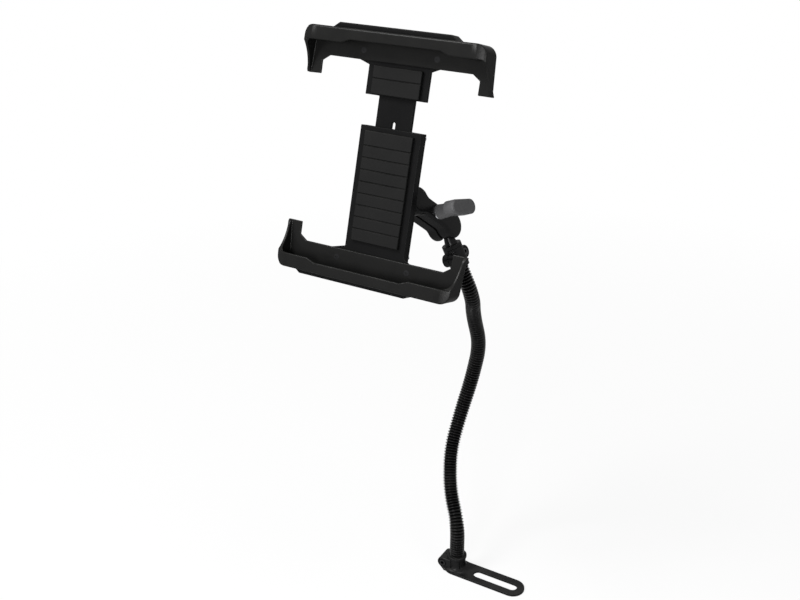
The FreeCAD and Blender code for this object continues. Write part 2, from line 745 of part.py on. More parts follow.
def head_half(name, sign, boss_end):
    """Half of the head clamp's barrel with its two screw bosses, on the +X or -X side."""
    clear = s.clamp_bolt_offset + s.boss_radius + 1
    barrel = cylinder(name + "_barrel", s.head_radius, "z", (-s.head_skirt, disc_low))
    spans = {1: (half_split, boss_end), -1: (-boss_end, -half_split)}
    raw = beside_rod(name + "_boss", s.boss_radius, spans[sign])
    bosses = [rounded(f"{name}_boss_{n}", boss, s.boss_round, in_plane("X", boss_end * sign))
              for n, boss in enumerate(raw)]
    away = {1: (-clear, half_split), -1: (-half_split, clear)}
    other_side = box(name + "_side", away[sign], (-clear, clear), (-s.head_skirt - 1, disc_low))
    voids = clamp_voids(name, disc_low, -s.head_skirt - 1, -s.head_skirt - 1, head_socket_high)
    return [barrel] + bosses, [other_side] + voids


def make_head():
    solids, tools = head_half("head", -1, s.head_boss_length + 1)
    disc = cylinder("head_disc_top", s.head_radius, "z", (disc_low, disc_high))
    post_top = s.ball_height - s.ball_radius + s.root_in_ball
    root = cone("head_post_root", s.post_root, s.post_radius, "z", (disc_high, post_top))
    post = cylinder("head_post", s.post_radius, "z", (disc_high, s.ball_height + s.post_in_ball))
    shell = cut("head_shell", fuse("head_solid", solids), tools)
    screw_hole = beside_rod("head_hole", s.screw_shank + s.seat_gap, (-s.head_boss_length, 0))
    item = cut("rod_head", fuse("head_whole", [shell, disc, root, post]), screw_hole)
    finish(item, "rod_head", head_frame)


def make_head_cap():
    solids, tools = head_half("head_cap", 1, s.head_boss_length)
    holes = beside_rod("head_cap_hole", s.screw_shank + s.seat_gap, (0, s.head_boss_length))
    seat = s.head_boss_length - s.screw_head_height
    recess = beside_rod("head_cap_recess", s.screw_recess, (seat, s.head_boss_length + 1))
    top_gap = box("head_cap_top", (0, s.head_radius + 1), (-s.head_radius, s.head_radius),
                  (disc_low - s.part_gap, disc_low + 1))
    item = cut("rod_head_cap", fuse("head_cap_solid", solids), tools + holes + recess + [top_gap])
    finish(item, "rod_head_cap", head_frame)


def make_head_screws():
    outer = s.head_boss_length
    seat = outer - s.screw_head_height
    screws = []
    for n, y in enumerate((-s.clamp_bolt_offset, s.clamp_bolt_offset)):
        head = cylinder(f"head_screw_top_{n}", s.screw_head, "x", (seat, outer), (y, 0))
        shank = cylinder(f"head_screw_shank_{n}", s.screw_shank, "x", (1 - outer, seat), (y, 0))
        key = prism(f"head_screw_key_{n}", s.screw_key, "x", (outer - s.screw_key_depth, outer + 1), (y, 0))
        screws.append(cut(f"head_screw_{n}", fuse(f"head_screw_body_{n}", [head, shank]), [key]))
    finish(group("rod_head_screws", screws), "rod_head_screws", head_frame)


def make_lower_ball():
    sphere = ball("lower_ball_sphere", s.ball_radius, 0, 0, s.ball_height)
    bore = cylinder("lower_ball_bore", s.post_radius, "z", (disc_high, s.ball_height + s.post_in_ball))
    root_end = s.ball_height - s.ball_radius + s.root_in_ball
    root = cone("lower_ball_root", s.post_root, s.post_radius, "z", (disc_high, root_end))
    finish(cut("lower_ball", sphere, [bore, root]), "lower_ball", head_frame)


# Double-socket arm
arm_middle = s.arm_spacing / 2


def arm_half(name, sign):
    """One half of the arm, with half of each socket. The sign says which side of the parting plane it is on."""
    near, far = s.arm_split * sign, s.arm_depth * sign
    span = (near, far) if sign > 0 else (far, near)
    spacing = s.arm_spacing
    lobes = [cylinder(f"{name}_lobe_{n}", s.arm_lobe, "x", span, (0, z)) for n, z in enumerate((0, spacing))]
    waist = box(name + "_waist", span, (-s.arm_waist, s.arm_waist), (0, spacing))
    body = fuse(name + "_raw", lobes + [waist])
    necked = rounded(name + "_necked", body, s.arm_neck_round,
                     lambda edge: along(edge, X_AXIS) and at_place(edge, Y_AXIS, s.arm_waist))
    softened = rounded(name + "_soft", necked, s.arm_round, in_plane("X", far))
    sockets = [ball(f"{name}_socket_{n}", s.ball_radius + s.socket_gap, 0, 0, z) for n, z in enumerate((0, spacing))]
    mouths = [mouth(f"{name}_mouth_0", 0, -1), mouth(f"{name}_mouth_1", spacing, 1)]
    bolt_hole = cylinder(name + "_bolt_hole", s.arm_bolt_radius + s.seat_gap, "x",
                         (-s.arm_depth - 1, s.arm_depth + 1), (0, arm_middle))
    pocket_span = (0, s.spring_pocket) if sign > 0 else (-s.spring_pocket, 0)
    pocket_hole = cylinder(name + "_pocket", s.spring_outer + s.part_gap, "x", pocket_span, (0, arm_middle))
    return softened, sockets + mouths + [bolt_hole, pocket_hole]


def mouth(name, z, way):
    """A sector of a disc round the ball's centre, open to the arm's end, in which the post swings."""
    sector = doc.addObject("Part::Cylinder", name)
    bind(sector, "Radius", s.arm_lobe + 2)
    bind(sector, "Height", s.mouth_half * 2)
    bind(sector, "Angle", s.mouth_angle)
    # Stood on the X axis, a sector's zero angle points along -Z
    middle = 0 if way < 0 else 180
    turn = Rotation(Z_AXIS, middle - s.mouth_angle.value / 2)
    sector.Placement = Placement(Vector(), AXIS_TURN["x"].multiply(turn))
    bind_base(sector, -s.mouth_half, 0, z)
    return sector


def make_fixed_arm():
    body, tools = arm_half("fixed_arm", -1)
    recess_floor = s.arm_bolt_head_height - s.arm_depth
    head_recess = prism("fixed_arm_recess", s.arm_bolt_head + s.seat_gap, "x",
                        (-s.arm_depth - 1, recess_floor), (0, arm_middle))
    finish(cut("arm_half_fixed", body, tools + [head_recess]), "arm_half_fixed", arm_frame)


def make_moving_arm():
    body, tools = arm_half("moving_arm", 1)
    finish(cut("arm_half_moving", body, tools), "arm_half_moving", arm_frame)


def make_arm_spring():
    span = (-s.spring_pocket, s.spring_pocket)
    coil = cylinder("arm_spring_coil", s.spring_outer, "x", span, (0, arm_middle))
    core = cylinder("arm_spring_core", s.spring_inner, "x", span, (0, arm_middle))
    finish(cut("arm_spring", coil, [core]), "arm_spring", arm_frame)


knob_seat = s.arm_depth + s.washer_thickness


def make_arm_bolt():
    head_seat = s.arm_bolt_head_height - s.arm_depth
    head = prism("arm_bolt_hexagon", s.arm_bolt_head, "x", (-s.arm_depth, head_seat), (0, arm_middle))
    shank = cylinder("arm_bolt_shank", s.arm_bolt_radius, "x", (head_seat, knob_seat + s.bolt_into_knob),
                     (0, arm_middle))
    finish(fuse("arm_bolt", [head, shank]), "arm_bolt", arm_frame)


def make_washer():
    ring = cylinder("washer_ring", s.washer_radius, "x", (s.arm_depth, knob_seat), (0, arm_middle))
    hole = cylinder("washer_hole", s.arm_bolt_radius + s.seat_gap, "x", (s.arm_depth, knob_seat), (0, arm_middle))
    finish(cut("arm_washer", ring, [hole]), "arm_washer", arm_frame)


# The knob stands on its own seat: its Z axis is the bolt's, and its wings lie along its X axis
knob_turn = Rotation(Y_AXIS, 90).multiply(Rotation(Z_AXIS, s.knob_angle.value))
knob_frame = arm_frame.multiply(Placement(Vector(knob_seat.value, 0, arm_middle.value), knob_turn))


def make_knob():
    wing_low = s.knob_length - s.knob_wing_depth
    wings = [
        cylinder(f"knob_wing_{n}", s.knob_wing_radius, "z", (wing_low, s.knob_length), (x, 0))
        for n, x in enumerate((-s.knob_wing_reach, s.knob_wing_reach))
    ]
    web = box("knob_web", (-s.knob_wing_reach, s.knob_wing_reach), (-s.knob_wing_radius, s.knob_wing_radius),
              (wing_low, s.knob_length))
    head = fuse("knob_head_raw", wings + [web])
    soft_head = rounded("knob_head", head, s.knob_round,
                        lambda edge: edge.BoundBox.ZLength < NEAR)
    stem = cone("knob_stem_cone", s.knob_stem, s.knob_neck, "z", (0, wing_low + s.knob_round))
    solid = fuse("knob_solid", [soft_head, stem])
    insert_hole = cylinder("knob_insert_hole", s.insert_radius, "z", (0, s.insert_length))
    room_end = s.bolt_into_knob + s.bolt_room
    bolt_room = cylinder("knob_bolt_room", s.arm_bolt_radius + s.part_gap, "z", (0, room_end))
    finish(cut("clamp_knob", solid, [insert_hole, bolt_room]), "clamp_knob", knob_frame)


def make_insert():
    sleeve = cylinder("insert_body", s.insert_radius, "z", (0, s.insert_length))
    thread = cylinder("insert_thread", s.arm_bolt_radius + s.swivel_gap, "z", (0, s.insert_length))
    finish(cut("knob_insert", sleeve, [thread]), "knob_insert", knob_frame)


# Upper ball and its diamond base on the cradle's back
housing_back = s.cup_back + s.housing_front_wall + s.part_gap * 2 + s.bar_thickness + s.cover_thickness
cover_front = housing_back - s.cover_thickness
base_top = housing_back + s.base_thickness
post_end = s.ball_behind + s.post_in_ball


def make_upper_ball():
    sphere = ball("upper_ball_sphere", s.ball_radius, s.ball_side, s.ball_behind, -s.ball_below)
    centre = (s.ball_side, -s.ball_below)
    bore = cylinder("upper_ball_bore", s.post_radius + s.swivel_gap, "y", (base_top, post_end + s.part_gap), centre)
    finish(cut("upper_ball", sphere, [bore]), "upper_ball", cradle_frame)


def make_ball_base():
    body = new_body("ball_base_diamond")
    sketch = new_sketch(body, "XZ_Plane", "diamond", -housing_back)
    wide, long = s.base_half_wide, s.base_half_long
    corners = [(wide, -wide / 3), (wide, wide / 3), (wide / 3, long), (-wide / 3, long),
               (-wide, wide / 3), (-wide, -wide / 3), (-wide / 3, -long), (wide / 3, -long)]
    outline(sketch, corners)
    plate = pad(body, sketch, "diamond_pad", s.base_thickness, reverse=True)
    soften(body, plate, "diamond_round", s.base_corner, lambda edge: along(edge, Y_AXIS))
    bind_base(body, s.ball_side, 0, -s.ball_below)
    centre = (s.ball_side, -s.ball_below)
    neck_end = s.ball_behind - s.ball_radius + 0.5
    root = cone("base_post_root", s.post_root, s.post_radius, "y", (base_top, neck_end), centre)
    post = cylinder("base_post", s.post_radius, "y", (base_top - 1, post_end), centre)
    solid = fuse("base_solid", [body, root, post])
    holes = [
        cylinder(f"base_hole_{n}", s.base_screw_shank + s.seat_gap, "y", (housing_back - 1, base_top + 1),
                 (s.ball_side, z))
        for n, z in enumerate(base_hole_heights())
    ]
    finish(cut("ball_base_whole", solid, holes), "ball_base", cradle_frame)


def base_hole_heights():
    return (-s.ball_below - s.base_hole_offset, -s.ball_below + s.base_hole_offset)


def make_base_plate_screws():
    screws = []
    for n, z in enumerate(base_hole_heights()):
        centre = (s.ball_side, z)
        head_top = base_top + s.base_screw_head_height
        head = cylinder(f"ball_screw_head_{n}", s.base_screw_head, "y", (base_top, head_top), centre)
        shank = cylinder(f"ball_screw_shank_{n}", s.base_screw_shank, "y",
                         (housing_back - s.base_screw_grip, base_top), centre)
        key = prism(f"ball_screw_key_{n}", s.base_screw_shank, "y", (head_top - 1.4, head_top + 1), centre)
        screws.append(cut(f"ball_screw_{n}", fuse(f"ball_screw_body_{n}", [head, shank]), [key]))
    finish(group("ball_base_screws", screws), "ball_base_screws", cradle_frame)


# Cups: the origin is the middle of a cup's end, Z runs towards the tablet
def make_cup(name, frame):
    half, wall, side = s.cup_half_width, s.cup_wall, s.side_height
    tip = half + s.cup_splay
    depth = s.cup_front + s.cup_back
    over = side + 1
    slope = s.cup_splay / side
    flare_low = side - s.tip_flare_height
    # Outer block, with corners rounded before it is hollowed
    body = new_body(name + "_body")
    shell = new_sketch(body, "XZ_Plane", name + "_outer", s.cup_front)
    flare_root = half + slope * flare_low
    outline(shell, [(-half, 0), (half, 0), (flare_root, flare_low), (tip + s.tip_flare, side),
                    (-tip - s.tip_flare, side), (-flare_root, flare_low)])
    block = pad(body, shell, name + "_block", depth, reverse=True)
    corners = soften(body, block, name + "_corners", s.cup_corner,
                     lambda edge: along(edge, Y_AXIS) and at_place(edge, Z_AXIS, as_size(0)))
    front = in_plane("Y", -s.cup_front)
    soften(body, corners, name + "_edge", s.cup_edge_round,
           lambda edge: front(edge) and edge.BoundBox.ZMin < side.value - NEAR)
    # Each end of the lip curves back
    for side_name, way in (("left", -1), ("right", 1)):
        bend = new_sketch(body, "XY_Plane", f"{name}_{side_name}_end")
        start, end = (half - s.lip_end) * way, (tip + wall) * way
        # Past the cup's side the same arc runs on, to the edge of the cut
        run = tip + wall - half + s.lip_end
        radius = lip_end_radius()
        drop = radius.value - math.sqrt(radius.value**2 - run.value**2)
        outline(bend, [(start, -s.cup_front, -radius * way), (start, -s.cup_front - 1),
                       (end, -s.cup_front - 1), (end, drop - s.cup_front)])
        pocket(body, bend, f"{name}_{side_name}_end_cut", over * 2, both=True)
    # Front lip: deep at the corners, shallow in the middle, with slanted steps
    lip = new_sketch(body, "XZ_Plane", name + "_lip", s.cup_front + 1)
    wide = tip + wall * 2
    high, low = s.lip_corner_height, s.lip_middle_height
    step_outer, step_inner, side_step = s.lip_step_outer, s.lip_step_inner, s.lip_step_side
    outline(lip, [(-wide, high), (-step_outer - side_step, high), (-step_inner - side_step, low),
                  (step_inner - side_step, low), (step_outer - side_step, high), (wide, high),
                  (wide, over), (-wide, over)])
    pocket(body, lip, name + "_lip_cut", wall + 1)
    # Swept front edge of the side walls
    sweep = new_sketch(body, "YZ_Plane", name + "_sweep")
    outline(sweep, [(-s.cup_front - 1, high), (-s.side_root, high),
                    (s.side_tip_depth, s.side_tip_height, s.side_sweep),
                    (s.cup_back - wall, side, -s.side_tip_round),
                    (s.cup_back - wall, over), (-s.cup_front - 1, over)])
    pocket(body, sweep, name + "_sweep_cut", wide * 2, both=True)
    # Back wall: low in the middle, with a rail up each side
    back = new_sketch(body, "XZ_Plane", name + "_back", wall - s.cup_back + 1)
    rail = half - s.back_rail
    rise, run = s.back_rail_rise, s.back_rail_run
    outline(back, [(-rail, over), (-rail, s.back_height + rise), (run - rail, s.back_height),
                   (rail - run, s.back_height), (rail, s.back_height + rise), (rail, over)])
    pocket(body, back, name + "_back_cut", wall + 2)
    finish(cut(name + "_whole", body, [room_for_tablet(name)] + cup_screw_holes(name)), name, frame)


def lip_end_radius():
    """The radius at which a lip's end curves back by its depth over its length."""
    length, depth = s.lip_end.value, s.lip_end_back.value
    return as_size((length * length + depth * depth) / (2 * depth))


def room_for_tablet(name):
    """The hollow of a cup, open towards the tablet."""
    wall = s.cup_wall
    inner = s.cup_half_width - wall
    over = s.side_height + 1
    lean = s.cup_splay / s.side_height * over
    depth = s.cup_front + s.cup_back - wall * 2
    front = s.cup_front - wall
    body = new_body(name + "_room_body")
    room = new_sketch(body, "XZ_Plane", name + "_room", front)
    outline(room, [(-inner, wall), (inner, wall), (inner + lean, over), (-inner - lean, over)])
    hollow = pad(body, room, name + "_hollow", depth, reverse=True)
    corners = soften(body, hollow, name + "_inner_corners", s.cup_corner - wall,
                     lambda edge: along(edge, Y_AXIS) and at_place(edge, X_AXIS, inner))
    front_face = in_plane("Y", -front)
    soften(body, corners, name + "_inner_front", s.room_corner,
           lambda edge: front_face(edge) and edge.BoundBox.XLength < edge.BoundBox.ZLength)
    return body


def cup_screw_places():
    return (-s.cup_screw_spacing / 2, s.cup_screw_spacing / 2)


def cup_screw_holes(name):
    """Countersunk holes through the cup's back wall."""
    holes = []
    inside = s.cup_back - s.cup_wall
    sink = s.cup_screw_head - s.cup_screw_shank
    for n, x in enumerate(cup_screw_places()):
        centre = (x, s.cup_screw_height)
        holes.append(cylinder(f"{name}_hole_{n}", s.cup_screw_shank + s.seat_gap, "y",
                              (inside - 1, s.cup_back + 1), centre))
        holes.append(cone(f"{name}_sink_{n}", s.cup_screw_head + s.seat_gap, s.cup_screw_shank + s.seat_gap, "y",
                          (inside, inside + sink), centre))
    return holes


def make_cup_screws(name, frame):
    inside = s.cup_back - s.cup_wall
    sink = s.cup_screw_head - s.cup_screw_shank
    screws = []
    for n, x in enumerate(cup_screw_places()):
        centre = (x, s.cup_screw_height)
        head = cone(f"{name}_head_{n}", s.cup_screw_head, s.cup_screw_shank, "y", (inside, inside + sink), centre)
        shank = cylinder(f"{name}_shank_{n}", s.cup_screw_shank, "y",
                         (inside + sink / 2, s.cup_back + s.housing_front_wall), centre)
        cross = box(f"{name}_cross_{n}", (x - s.cup_screw_shank, x + s.cup_screw_shank),
                    (inside - 1, inside + sink / 2),
                    (s.cup_screw_height - s.cup_screw_cross, s.cup_screw_height + s.cup_screw_cross))
        screws.append(cut(f"{name}_{n}", fuse(f"{name}_body_{n}", [head, shank]), [cross]))
    finish(group(name, screws), name, frame)


# Hooked plates behind the cups, in the cup's own frame
def hook_parts(body, name, side):
    """A plate behind a cup with slanted shoulders and a ledge that hooks over the cup's end."""
    edge = s.hook_depth + s.hook_gap
    height = s.hook_plate_height
    sheet_back = new_sketch(body, "XZ_Plane", name + "_plate_line", -s.cup_back)
    tip_low, tip_high = side - s.hook_half_tip, side + s.hook_half_tip
    root_low, root_high = side - s.hook_half_root, side + s.hook_half_root
    shoulder = height - s.hook_shoulder
    outline(sheet_back, [(tip_low, -edge), (tip_high, -edge), (root_high, -s.hook_gap), (root_high, shoulder),
                         (s.housing_half, height), (-s.housing_half, height),
                         (root_low, shoulder), (root_low, -s.hook_gap)])
    pad(body, sheet_back, name + "_plate_pad", s.housing_front_wall, reverse=True)
    ledge = new_sketch(body, "XZ_Plane", name + "_ledge_line", -s.hook_front)
    outline(ledge, [(tip_low, -edge), (tip_high, -edge), (root_high, -s.hook_gap), (root_low, -s.hook_gap)])
    return pad(body, ledge, name + "_ledge_pad", s.cup_back - s.hook_front + 1, reverse=True)


def hook_holes(name):
    """Screw holes of the cup in the hook plate."""
    return [
        cylinder(f"{name}_{n}", s.cup_screw_shank + s.seat_gap, "y",
                 (s.cup_back - 1, s.cup_back + s.housing_front_wall + s.bar_thickness + 2),
                 (x, s.cup_screw_height))
        for n, x in enumerate(cup_screw_places())
    ]


bar_front = s.cup_back + s.housing_front_wall + s.part_gap
bar_back = bar_front + s.bar_thickness
ear_half = s.housing_half - s.housing_wall - s.ear_gap
pin_offset = ear_half - s.pin_inset
bar_half = pin_offset - s.coil_radius - s.coil_gap
to_cup = s.cup_half_height


def make_housing():
    body = new_body("housing_hook")
    hook = hook_parts(body, "lower_hook", -s.hook_side_low)
    outer_edge = in_plane("Z", -s.hook_depth - s.hook_gap)
    soften(body, hook, "lower_hook_round", s.hook_round, outer_edge)
    half, wall = s.housing_half, s.housing_wall
    floor = to_cup - s.housing_bottom
    top = to_cup + s.housing_top
    front = box("housing_front", (-half, half), (s.cup_back, s.cup_back + s.housing_front_wall),
                (s.hook_plate_height / 2, top))
    left = box("housing_left", (-half, wall - half), (s.cup_back, cover_front), (floor, top))
    right = box("housing_right", (half - wall, half), (s.cup_back, cover_front), (floor, top))
    bottom = box("housing_floor", (-half, half), (s.cup_back, cover_front), (floor, floor + wall))
    pins = [
        cylinder(f"housing_pin_{n}", s.pin_radius, "y", (s.cup_back + 1, cover_front), (x, floor + wall * 2))
        for n, x in enumerate((-pin_offset, pin_offset))
    ]
    solid = fuse("housing_solid", [body, front, left, right, bottom] + pins)
    holes = hook_holes("housing_cup_hole") + [
        cylinder(f"housing_screw_hole_{n}", s.cover_screw_shank, "y", (s.cup_back + 1.5, cover_front + 1), place)
        for n, place in enumerate(cover_screw_places())
    ]
    finish(cut("cradle_housing", solid, holes), "cradle_housing", lower_cup_frame)


def cover_screw_places():
    """Four screws in the housing's side walls, in the lower cup's frame."""
    x = s.housing_half - s.housing_wall / 2
    low = to_cup - s.housing_bottom + s.housing_wall
    high = to_cup + s.housing_top - s.housing_wall
    return [(-x, low), (x, low), (-x, high), (x, high)]


def make_cover():
    half = s.housing_half
    floor = to_cup - s.housing_bottom
    top = to_cup + s.housing_top
    body = new_body("cover_body")
    sketch = new_sketch(body, "XZ_Plane", "cover_line", -cover_front)
    outline(sketch, [(-half, floor), (half, floor), (half, top), (-half, top)])
    plate = pad(body, sketch, "cover_pad", s.cover_thickness, reverse=True)
    soften(body, plate, "cover_soft", s.cover_round, in_plane("Y", housing_back))
    sink = s.cover_screw_head - s.cover_screw_shank
    holes = []
    for n, place in enumerate(cover_screw_places()):
        holes.append(cylinder(f"cover_hole_{n}", s.cover_screw_shank + s.seat_gap, "y",
                              (cover_front - 1, housing_back + 1), place))
        holes.append(cone(f"cover_sink_{n}", s.cover_screw_shank + s.seat_gap, s.cover_screw_head + s.seat_gap, "y",
                          (housing_back - sink, housing_back), place))
    for n, z in enumerate(base_hole_heights()):
        holes.append(cylinder(f"cover_base_hole_{n}", s.base_screw_shank + s.seat_gap, "y",
                              (cover_front - 1, housing_back + 1), (s.ball_side, to_cup + z)))
    stop_place = (0, to_cup + s.stop_height)
    holes.append(cylinder("cover_stop_hole", s.stop_radius + s.seat_gap, "y",
                          (cover_front - 1, housing_back + 1), stop_place))
    holes.append(cylinder("cover_stop_recess", s.stop_head + s.seat_gap, "y",
                          (housing_back - s.stop_radius, housing_back + 1), stop_place))
    finish(cut("cover_whole", body, holes), "cradle_cover", lower_cup_frame)


def make_cover_screws():
    sink = s.cover_screw_head - s.cover_screw_shank
    screws = []
    for n, place in enumerate(cover_screw_places()):
        head = cone(f"cover_screw_head_{n}", s.cover_screw_shank, s.cover_screw_head, "y",
                    (housing_back - sink, housing_back), place)
        shank = cylinder(f"cover_screw_shank_{n}", s.cover_screw_shank, "y",
                         (s.cup_back + 2, housing_back - sink / 2), place)
        screws.append(fuse(f"cover_screw_{n}", [head, shank]))
    finish(group("cover_screws", screws), "cover_screws", lower_cup_frame)


def make_stop_screw():
    place = (0, to_cup + s.stop_height)
    head = cylinder("stop_head_disc", s.stop_head, "y", (housing_back - s.stop_radius, housing_back), place)
    shank = cylinder("stop_shank", s.stop_radius, "y", (bar_front, housing_back - s.stop_radius), place)
    key = prism("stop_key", s.stop_radius * 0.7, "y", (housing_back - s.stop_radius / 2, housing_back + 1), place)
    finish(cut("stop_screw", fuse("stop_body", [head, shank]), [key]), "stop_screw", lower_cup_frame)


def slider_height(height):
    """A height above the cradle's middle, in the upper cup's frame, whose Z axis points down."""
    return to_cup - height


def make_slider():
    body = new_body("slider_hook")
    hook = hook_parts(body, "upper_hook", s.hook_side_high)
    outer_edge = in_plane("Z", -s.hook_depth - s.hook_gap)
    soften(body, hook, "upper_hook_round", s.hook_round, outer_edge)
    bar_end = slider_height(-s.bar_bottom)
    bar = box("slider_bar", (-bar_half, bar_half), (bar_front, bar_back), (0, bar_end))
    bridge = box("slider_bridge", (-bar_half, bar_half), (s.cup_back, bar_back), (0, s.hook_plate_height))
    riser = box("slider_riser", (-s.housing_half, s.housing_half), (s.cup_back, bar_front + 1),
                (s.hook_plate_height / 2, slider_height(s.riser_bottom)))
    ear_end = slider_height(-s.ear_below)
    ears = box("slider_ears", (-ear_half, ear_half), (bar_front, bar_back), (ear_end - s.ear_height, ear_end))
    solid = fuse("slider_solid", [body, bar, bridge, riser, ears])
    reach = s.stop_radius + s.part_gap
    slot_low = slider_height(s.stop_height + s.stretch_in)
    slot_high = slider_height(s.stop_height - s.stretch_out)
    slot = box("slider_slot", (-reach, reach), (bar_front - 1, bar_back + 1), (slot_low, slot_high))
    slot_ends = [
        cylinder(f"slider_slot_{n}", reach, "y", (bar_front - 1, bar_back + 1), (0, z))
        for n, z in enumerate((slot_low, slot_high))
    ]
    pin_holes = [
        cylinder(f"slider_pin_hole_{n}", s.pin_radius, "y", (bar_front - 1, bar_back + 1),
                 (x, ear_end - s.ear_height / 2))
        for n, x in enumerate((-pin_offset, pin_offset))
    ]
    item = cut("cradle_slider", solid, [slot] + slot_ends + pin_holes + hook_holes("slider_cup_hole"))
    finish(item, "cradle_slider", upper_cup_frame)


def make_tension_springs():
    """Two closed coils between the housing's pins and the slider's ears, in the lower cup's frame."""
    low = to_cup - s.housing_bottom + s.housing_wall * 2 + s.pin_radius
    high = to_cup - s.ear_below - s.part_gap
    depth = (bar_front + bar_back) / 2
    coils = []
    for n, x in enumerate((-pin_offset, pin_offset)):
        coil = cylinder(f"tension_coil_{n}", s.coil_radius, "z", (low, high), (x, depth))
        core = cylinder(f"tension_core_{n}", s.coil_bore, "z", (low, high), (x, depth))
        coils.append(cut(f"tension_spring_{n}", coil, [core]))
    finish(group("tension_springs", coils), "tension_springs", lower_cup_frame)


def make_pad(name, low, high, frame):
    """A rubber pad with shallow grooves across it."""
    half = s.pad_half
    slab = box(name + "_slab", (-half, half), (s.pad_front, s.cup_back), (low, high))
    soft = rounded(name + "_soft", slab, s.pad_groove, in_plane("Y", s.pad_front))
    count = int((high - low).value / s.pad_groove_pitch.value)
    grooves = [
        box(f"{name}_groove_{n}", (-half - 1, half + 1), (s.pad_front - 1, s.pad_front + s.pad_groove),
            (low + s.pad_groove_pitch * n, low + s.pad_groove_pitch * n + s.pad_groove))
        for n in range(1, count)
    ]
    finish(cut(name + "_whole", soft, grooves) if grooves else soft, name, frame)


make_base_plate()
make_base_screw()
make_rod()
make_sleeve()
make_head()
make_head_cap()
make_head_screws()
make_lower_ball()
make_fixed_arm()
make_moving_arm()
make_arm_spring()
make_arm_bolt()
make_washer()
make_knob()
make_insert()
make_upper_ball()
make_ball_base()
make_base_plate_screws()
make_housing()
make_cover()
make_cover_screws()
make_stop_screw()
make_slider()
make_tension_springs()
make_cup("bottom_cup", lower_cup_frame)
make_cup("top_cup", upper_cup_frame)
make_cup_screws("bottom_cup_screws", lower_cup_frame)
make_cup_screws("top_cup_screws", upper_cup_frame)
make_pad("lower_pad", to_cup - s.housing_bottom + s.pad_groove_pitch, to_cup + s.housing_top - s.housing_wall,
         lower_cup_frame)
make_pad("upper_pad", s.hook_plate_height, slider_height(s.riser_bottom) - 1, upper_cup_frame)

doc.recompute()
for item in doc.Objects:
    bad = [state for state in item.State if state in ("Invalid", "Error")]
    if bad:
        raise ValueError(f"{item.Label} is {bad}")
for item in NODES:
    if item.Shape.isNull() or not item.Shape.isValid():
        raise ValueError(f"{item.Label} has no valid shape")
    if not item.Shape.Solids:
        raise ValueError(f"{item.Label} has no solid")

os.makedirs("parts", exist_ok=True)
for item in NODES:
    item.Shape.exportStep(f"parts/{item.Label}.step")
    print(item.Label, "solids", len(item.Shape.Solids), "volume", round(item.Shape.Volume, 1))

for name, frame in (("foot", foot_frame), ("head", head_frame), ("arm", arm_frame), ("cradle", cradle_frame)):
    turn = frame.Rotation
    x_axis, z_axis = turn.multVec(X_AXIS), turn.multVec(Z_AXIS)
    print(name, "frame at", [round(v, 3) for v in frame.Base], "X", [round(v, 6) for v in x_axis],
          "Z", [round(v, 6) for v in z_axis])
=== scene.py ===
# %% [markdown]
# # A tablet mount for a vehicle floor, dressed for the camera
#
# The mount stands on a slotted seat plate. A bent rod in a ribbed sleeve carries a double ball arm, and the arm
# carries a cradle with a sprung upper half and two moulded cups. Its construction comes packed from CAD, at its
# real size. Here it gets its finishes and the shapes that a camera cares about. Everything is in metres.

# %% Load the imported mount
import json
import math

import bmesh
import bpy
from mathutils import Matrix, Vector
from mathutils.bvhtree import BVHTree


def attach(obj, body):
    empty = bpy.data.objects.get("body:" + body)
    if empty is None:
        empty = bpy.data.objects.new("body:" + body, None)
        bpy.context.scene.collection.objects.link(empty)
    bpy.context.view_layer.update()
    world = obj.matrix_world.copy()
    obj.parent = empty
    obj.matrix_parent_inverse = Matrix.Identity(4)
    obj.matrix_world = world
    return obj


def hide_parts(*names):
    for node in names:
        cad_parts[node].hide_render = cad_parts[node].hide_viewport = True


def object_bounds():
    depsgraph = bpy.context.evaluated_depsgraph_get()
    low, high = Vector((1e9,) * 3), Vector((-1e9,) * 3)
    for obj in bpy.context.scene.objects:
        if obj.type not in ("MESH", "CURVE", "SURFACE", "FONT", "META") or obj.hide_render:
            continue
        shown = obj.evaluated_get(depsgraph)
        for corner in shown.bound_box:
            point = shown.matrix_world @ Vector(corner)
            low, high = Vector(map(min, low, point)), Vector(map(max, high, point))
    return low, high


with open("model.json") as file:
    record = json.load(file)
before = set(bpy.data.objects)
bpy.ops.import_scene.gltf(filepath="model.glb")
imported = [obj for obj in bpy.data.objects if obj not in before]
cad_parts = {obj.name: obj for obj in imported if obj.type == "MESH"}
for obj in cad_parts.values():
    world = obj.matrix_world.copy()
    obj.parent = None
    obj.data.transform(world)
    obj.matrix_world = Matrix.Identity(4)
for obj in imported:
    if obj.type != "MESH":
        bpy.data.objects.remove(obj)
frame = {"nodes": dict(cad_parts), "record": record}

cad_low, cad_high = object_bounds()
nodes = frame["nodes"]
print("CAD nodes:", len(nodes))
print("CAD box, mm:", [round(1000 * side) for side in cad_high - cad_low])

# %% [markdown]
# ## Camera
#
# The picture was taken a little above the cradle, from its right, with a long lens. The camera is aimed along a
# direction instead of at an object, so that the mount keeps its place in the frame when a piece changes. Its
# level horizon comes from tracking -Z along that direction with +Y up.

# %% Camera
CAMERA_PLACE = Vector((0.46065, -0.9947, 0.8880))
CAMERA_LOOK = Vector((-0.4677, 0.778, -0.419))
LENS_MM = 49.5
SENSOR_MM = 36.0
NEAREST_SEEN = 0.01

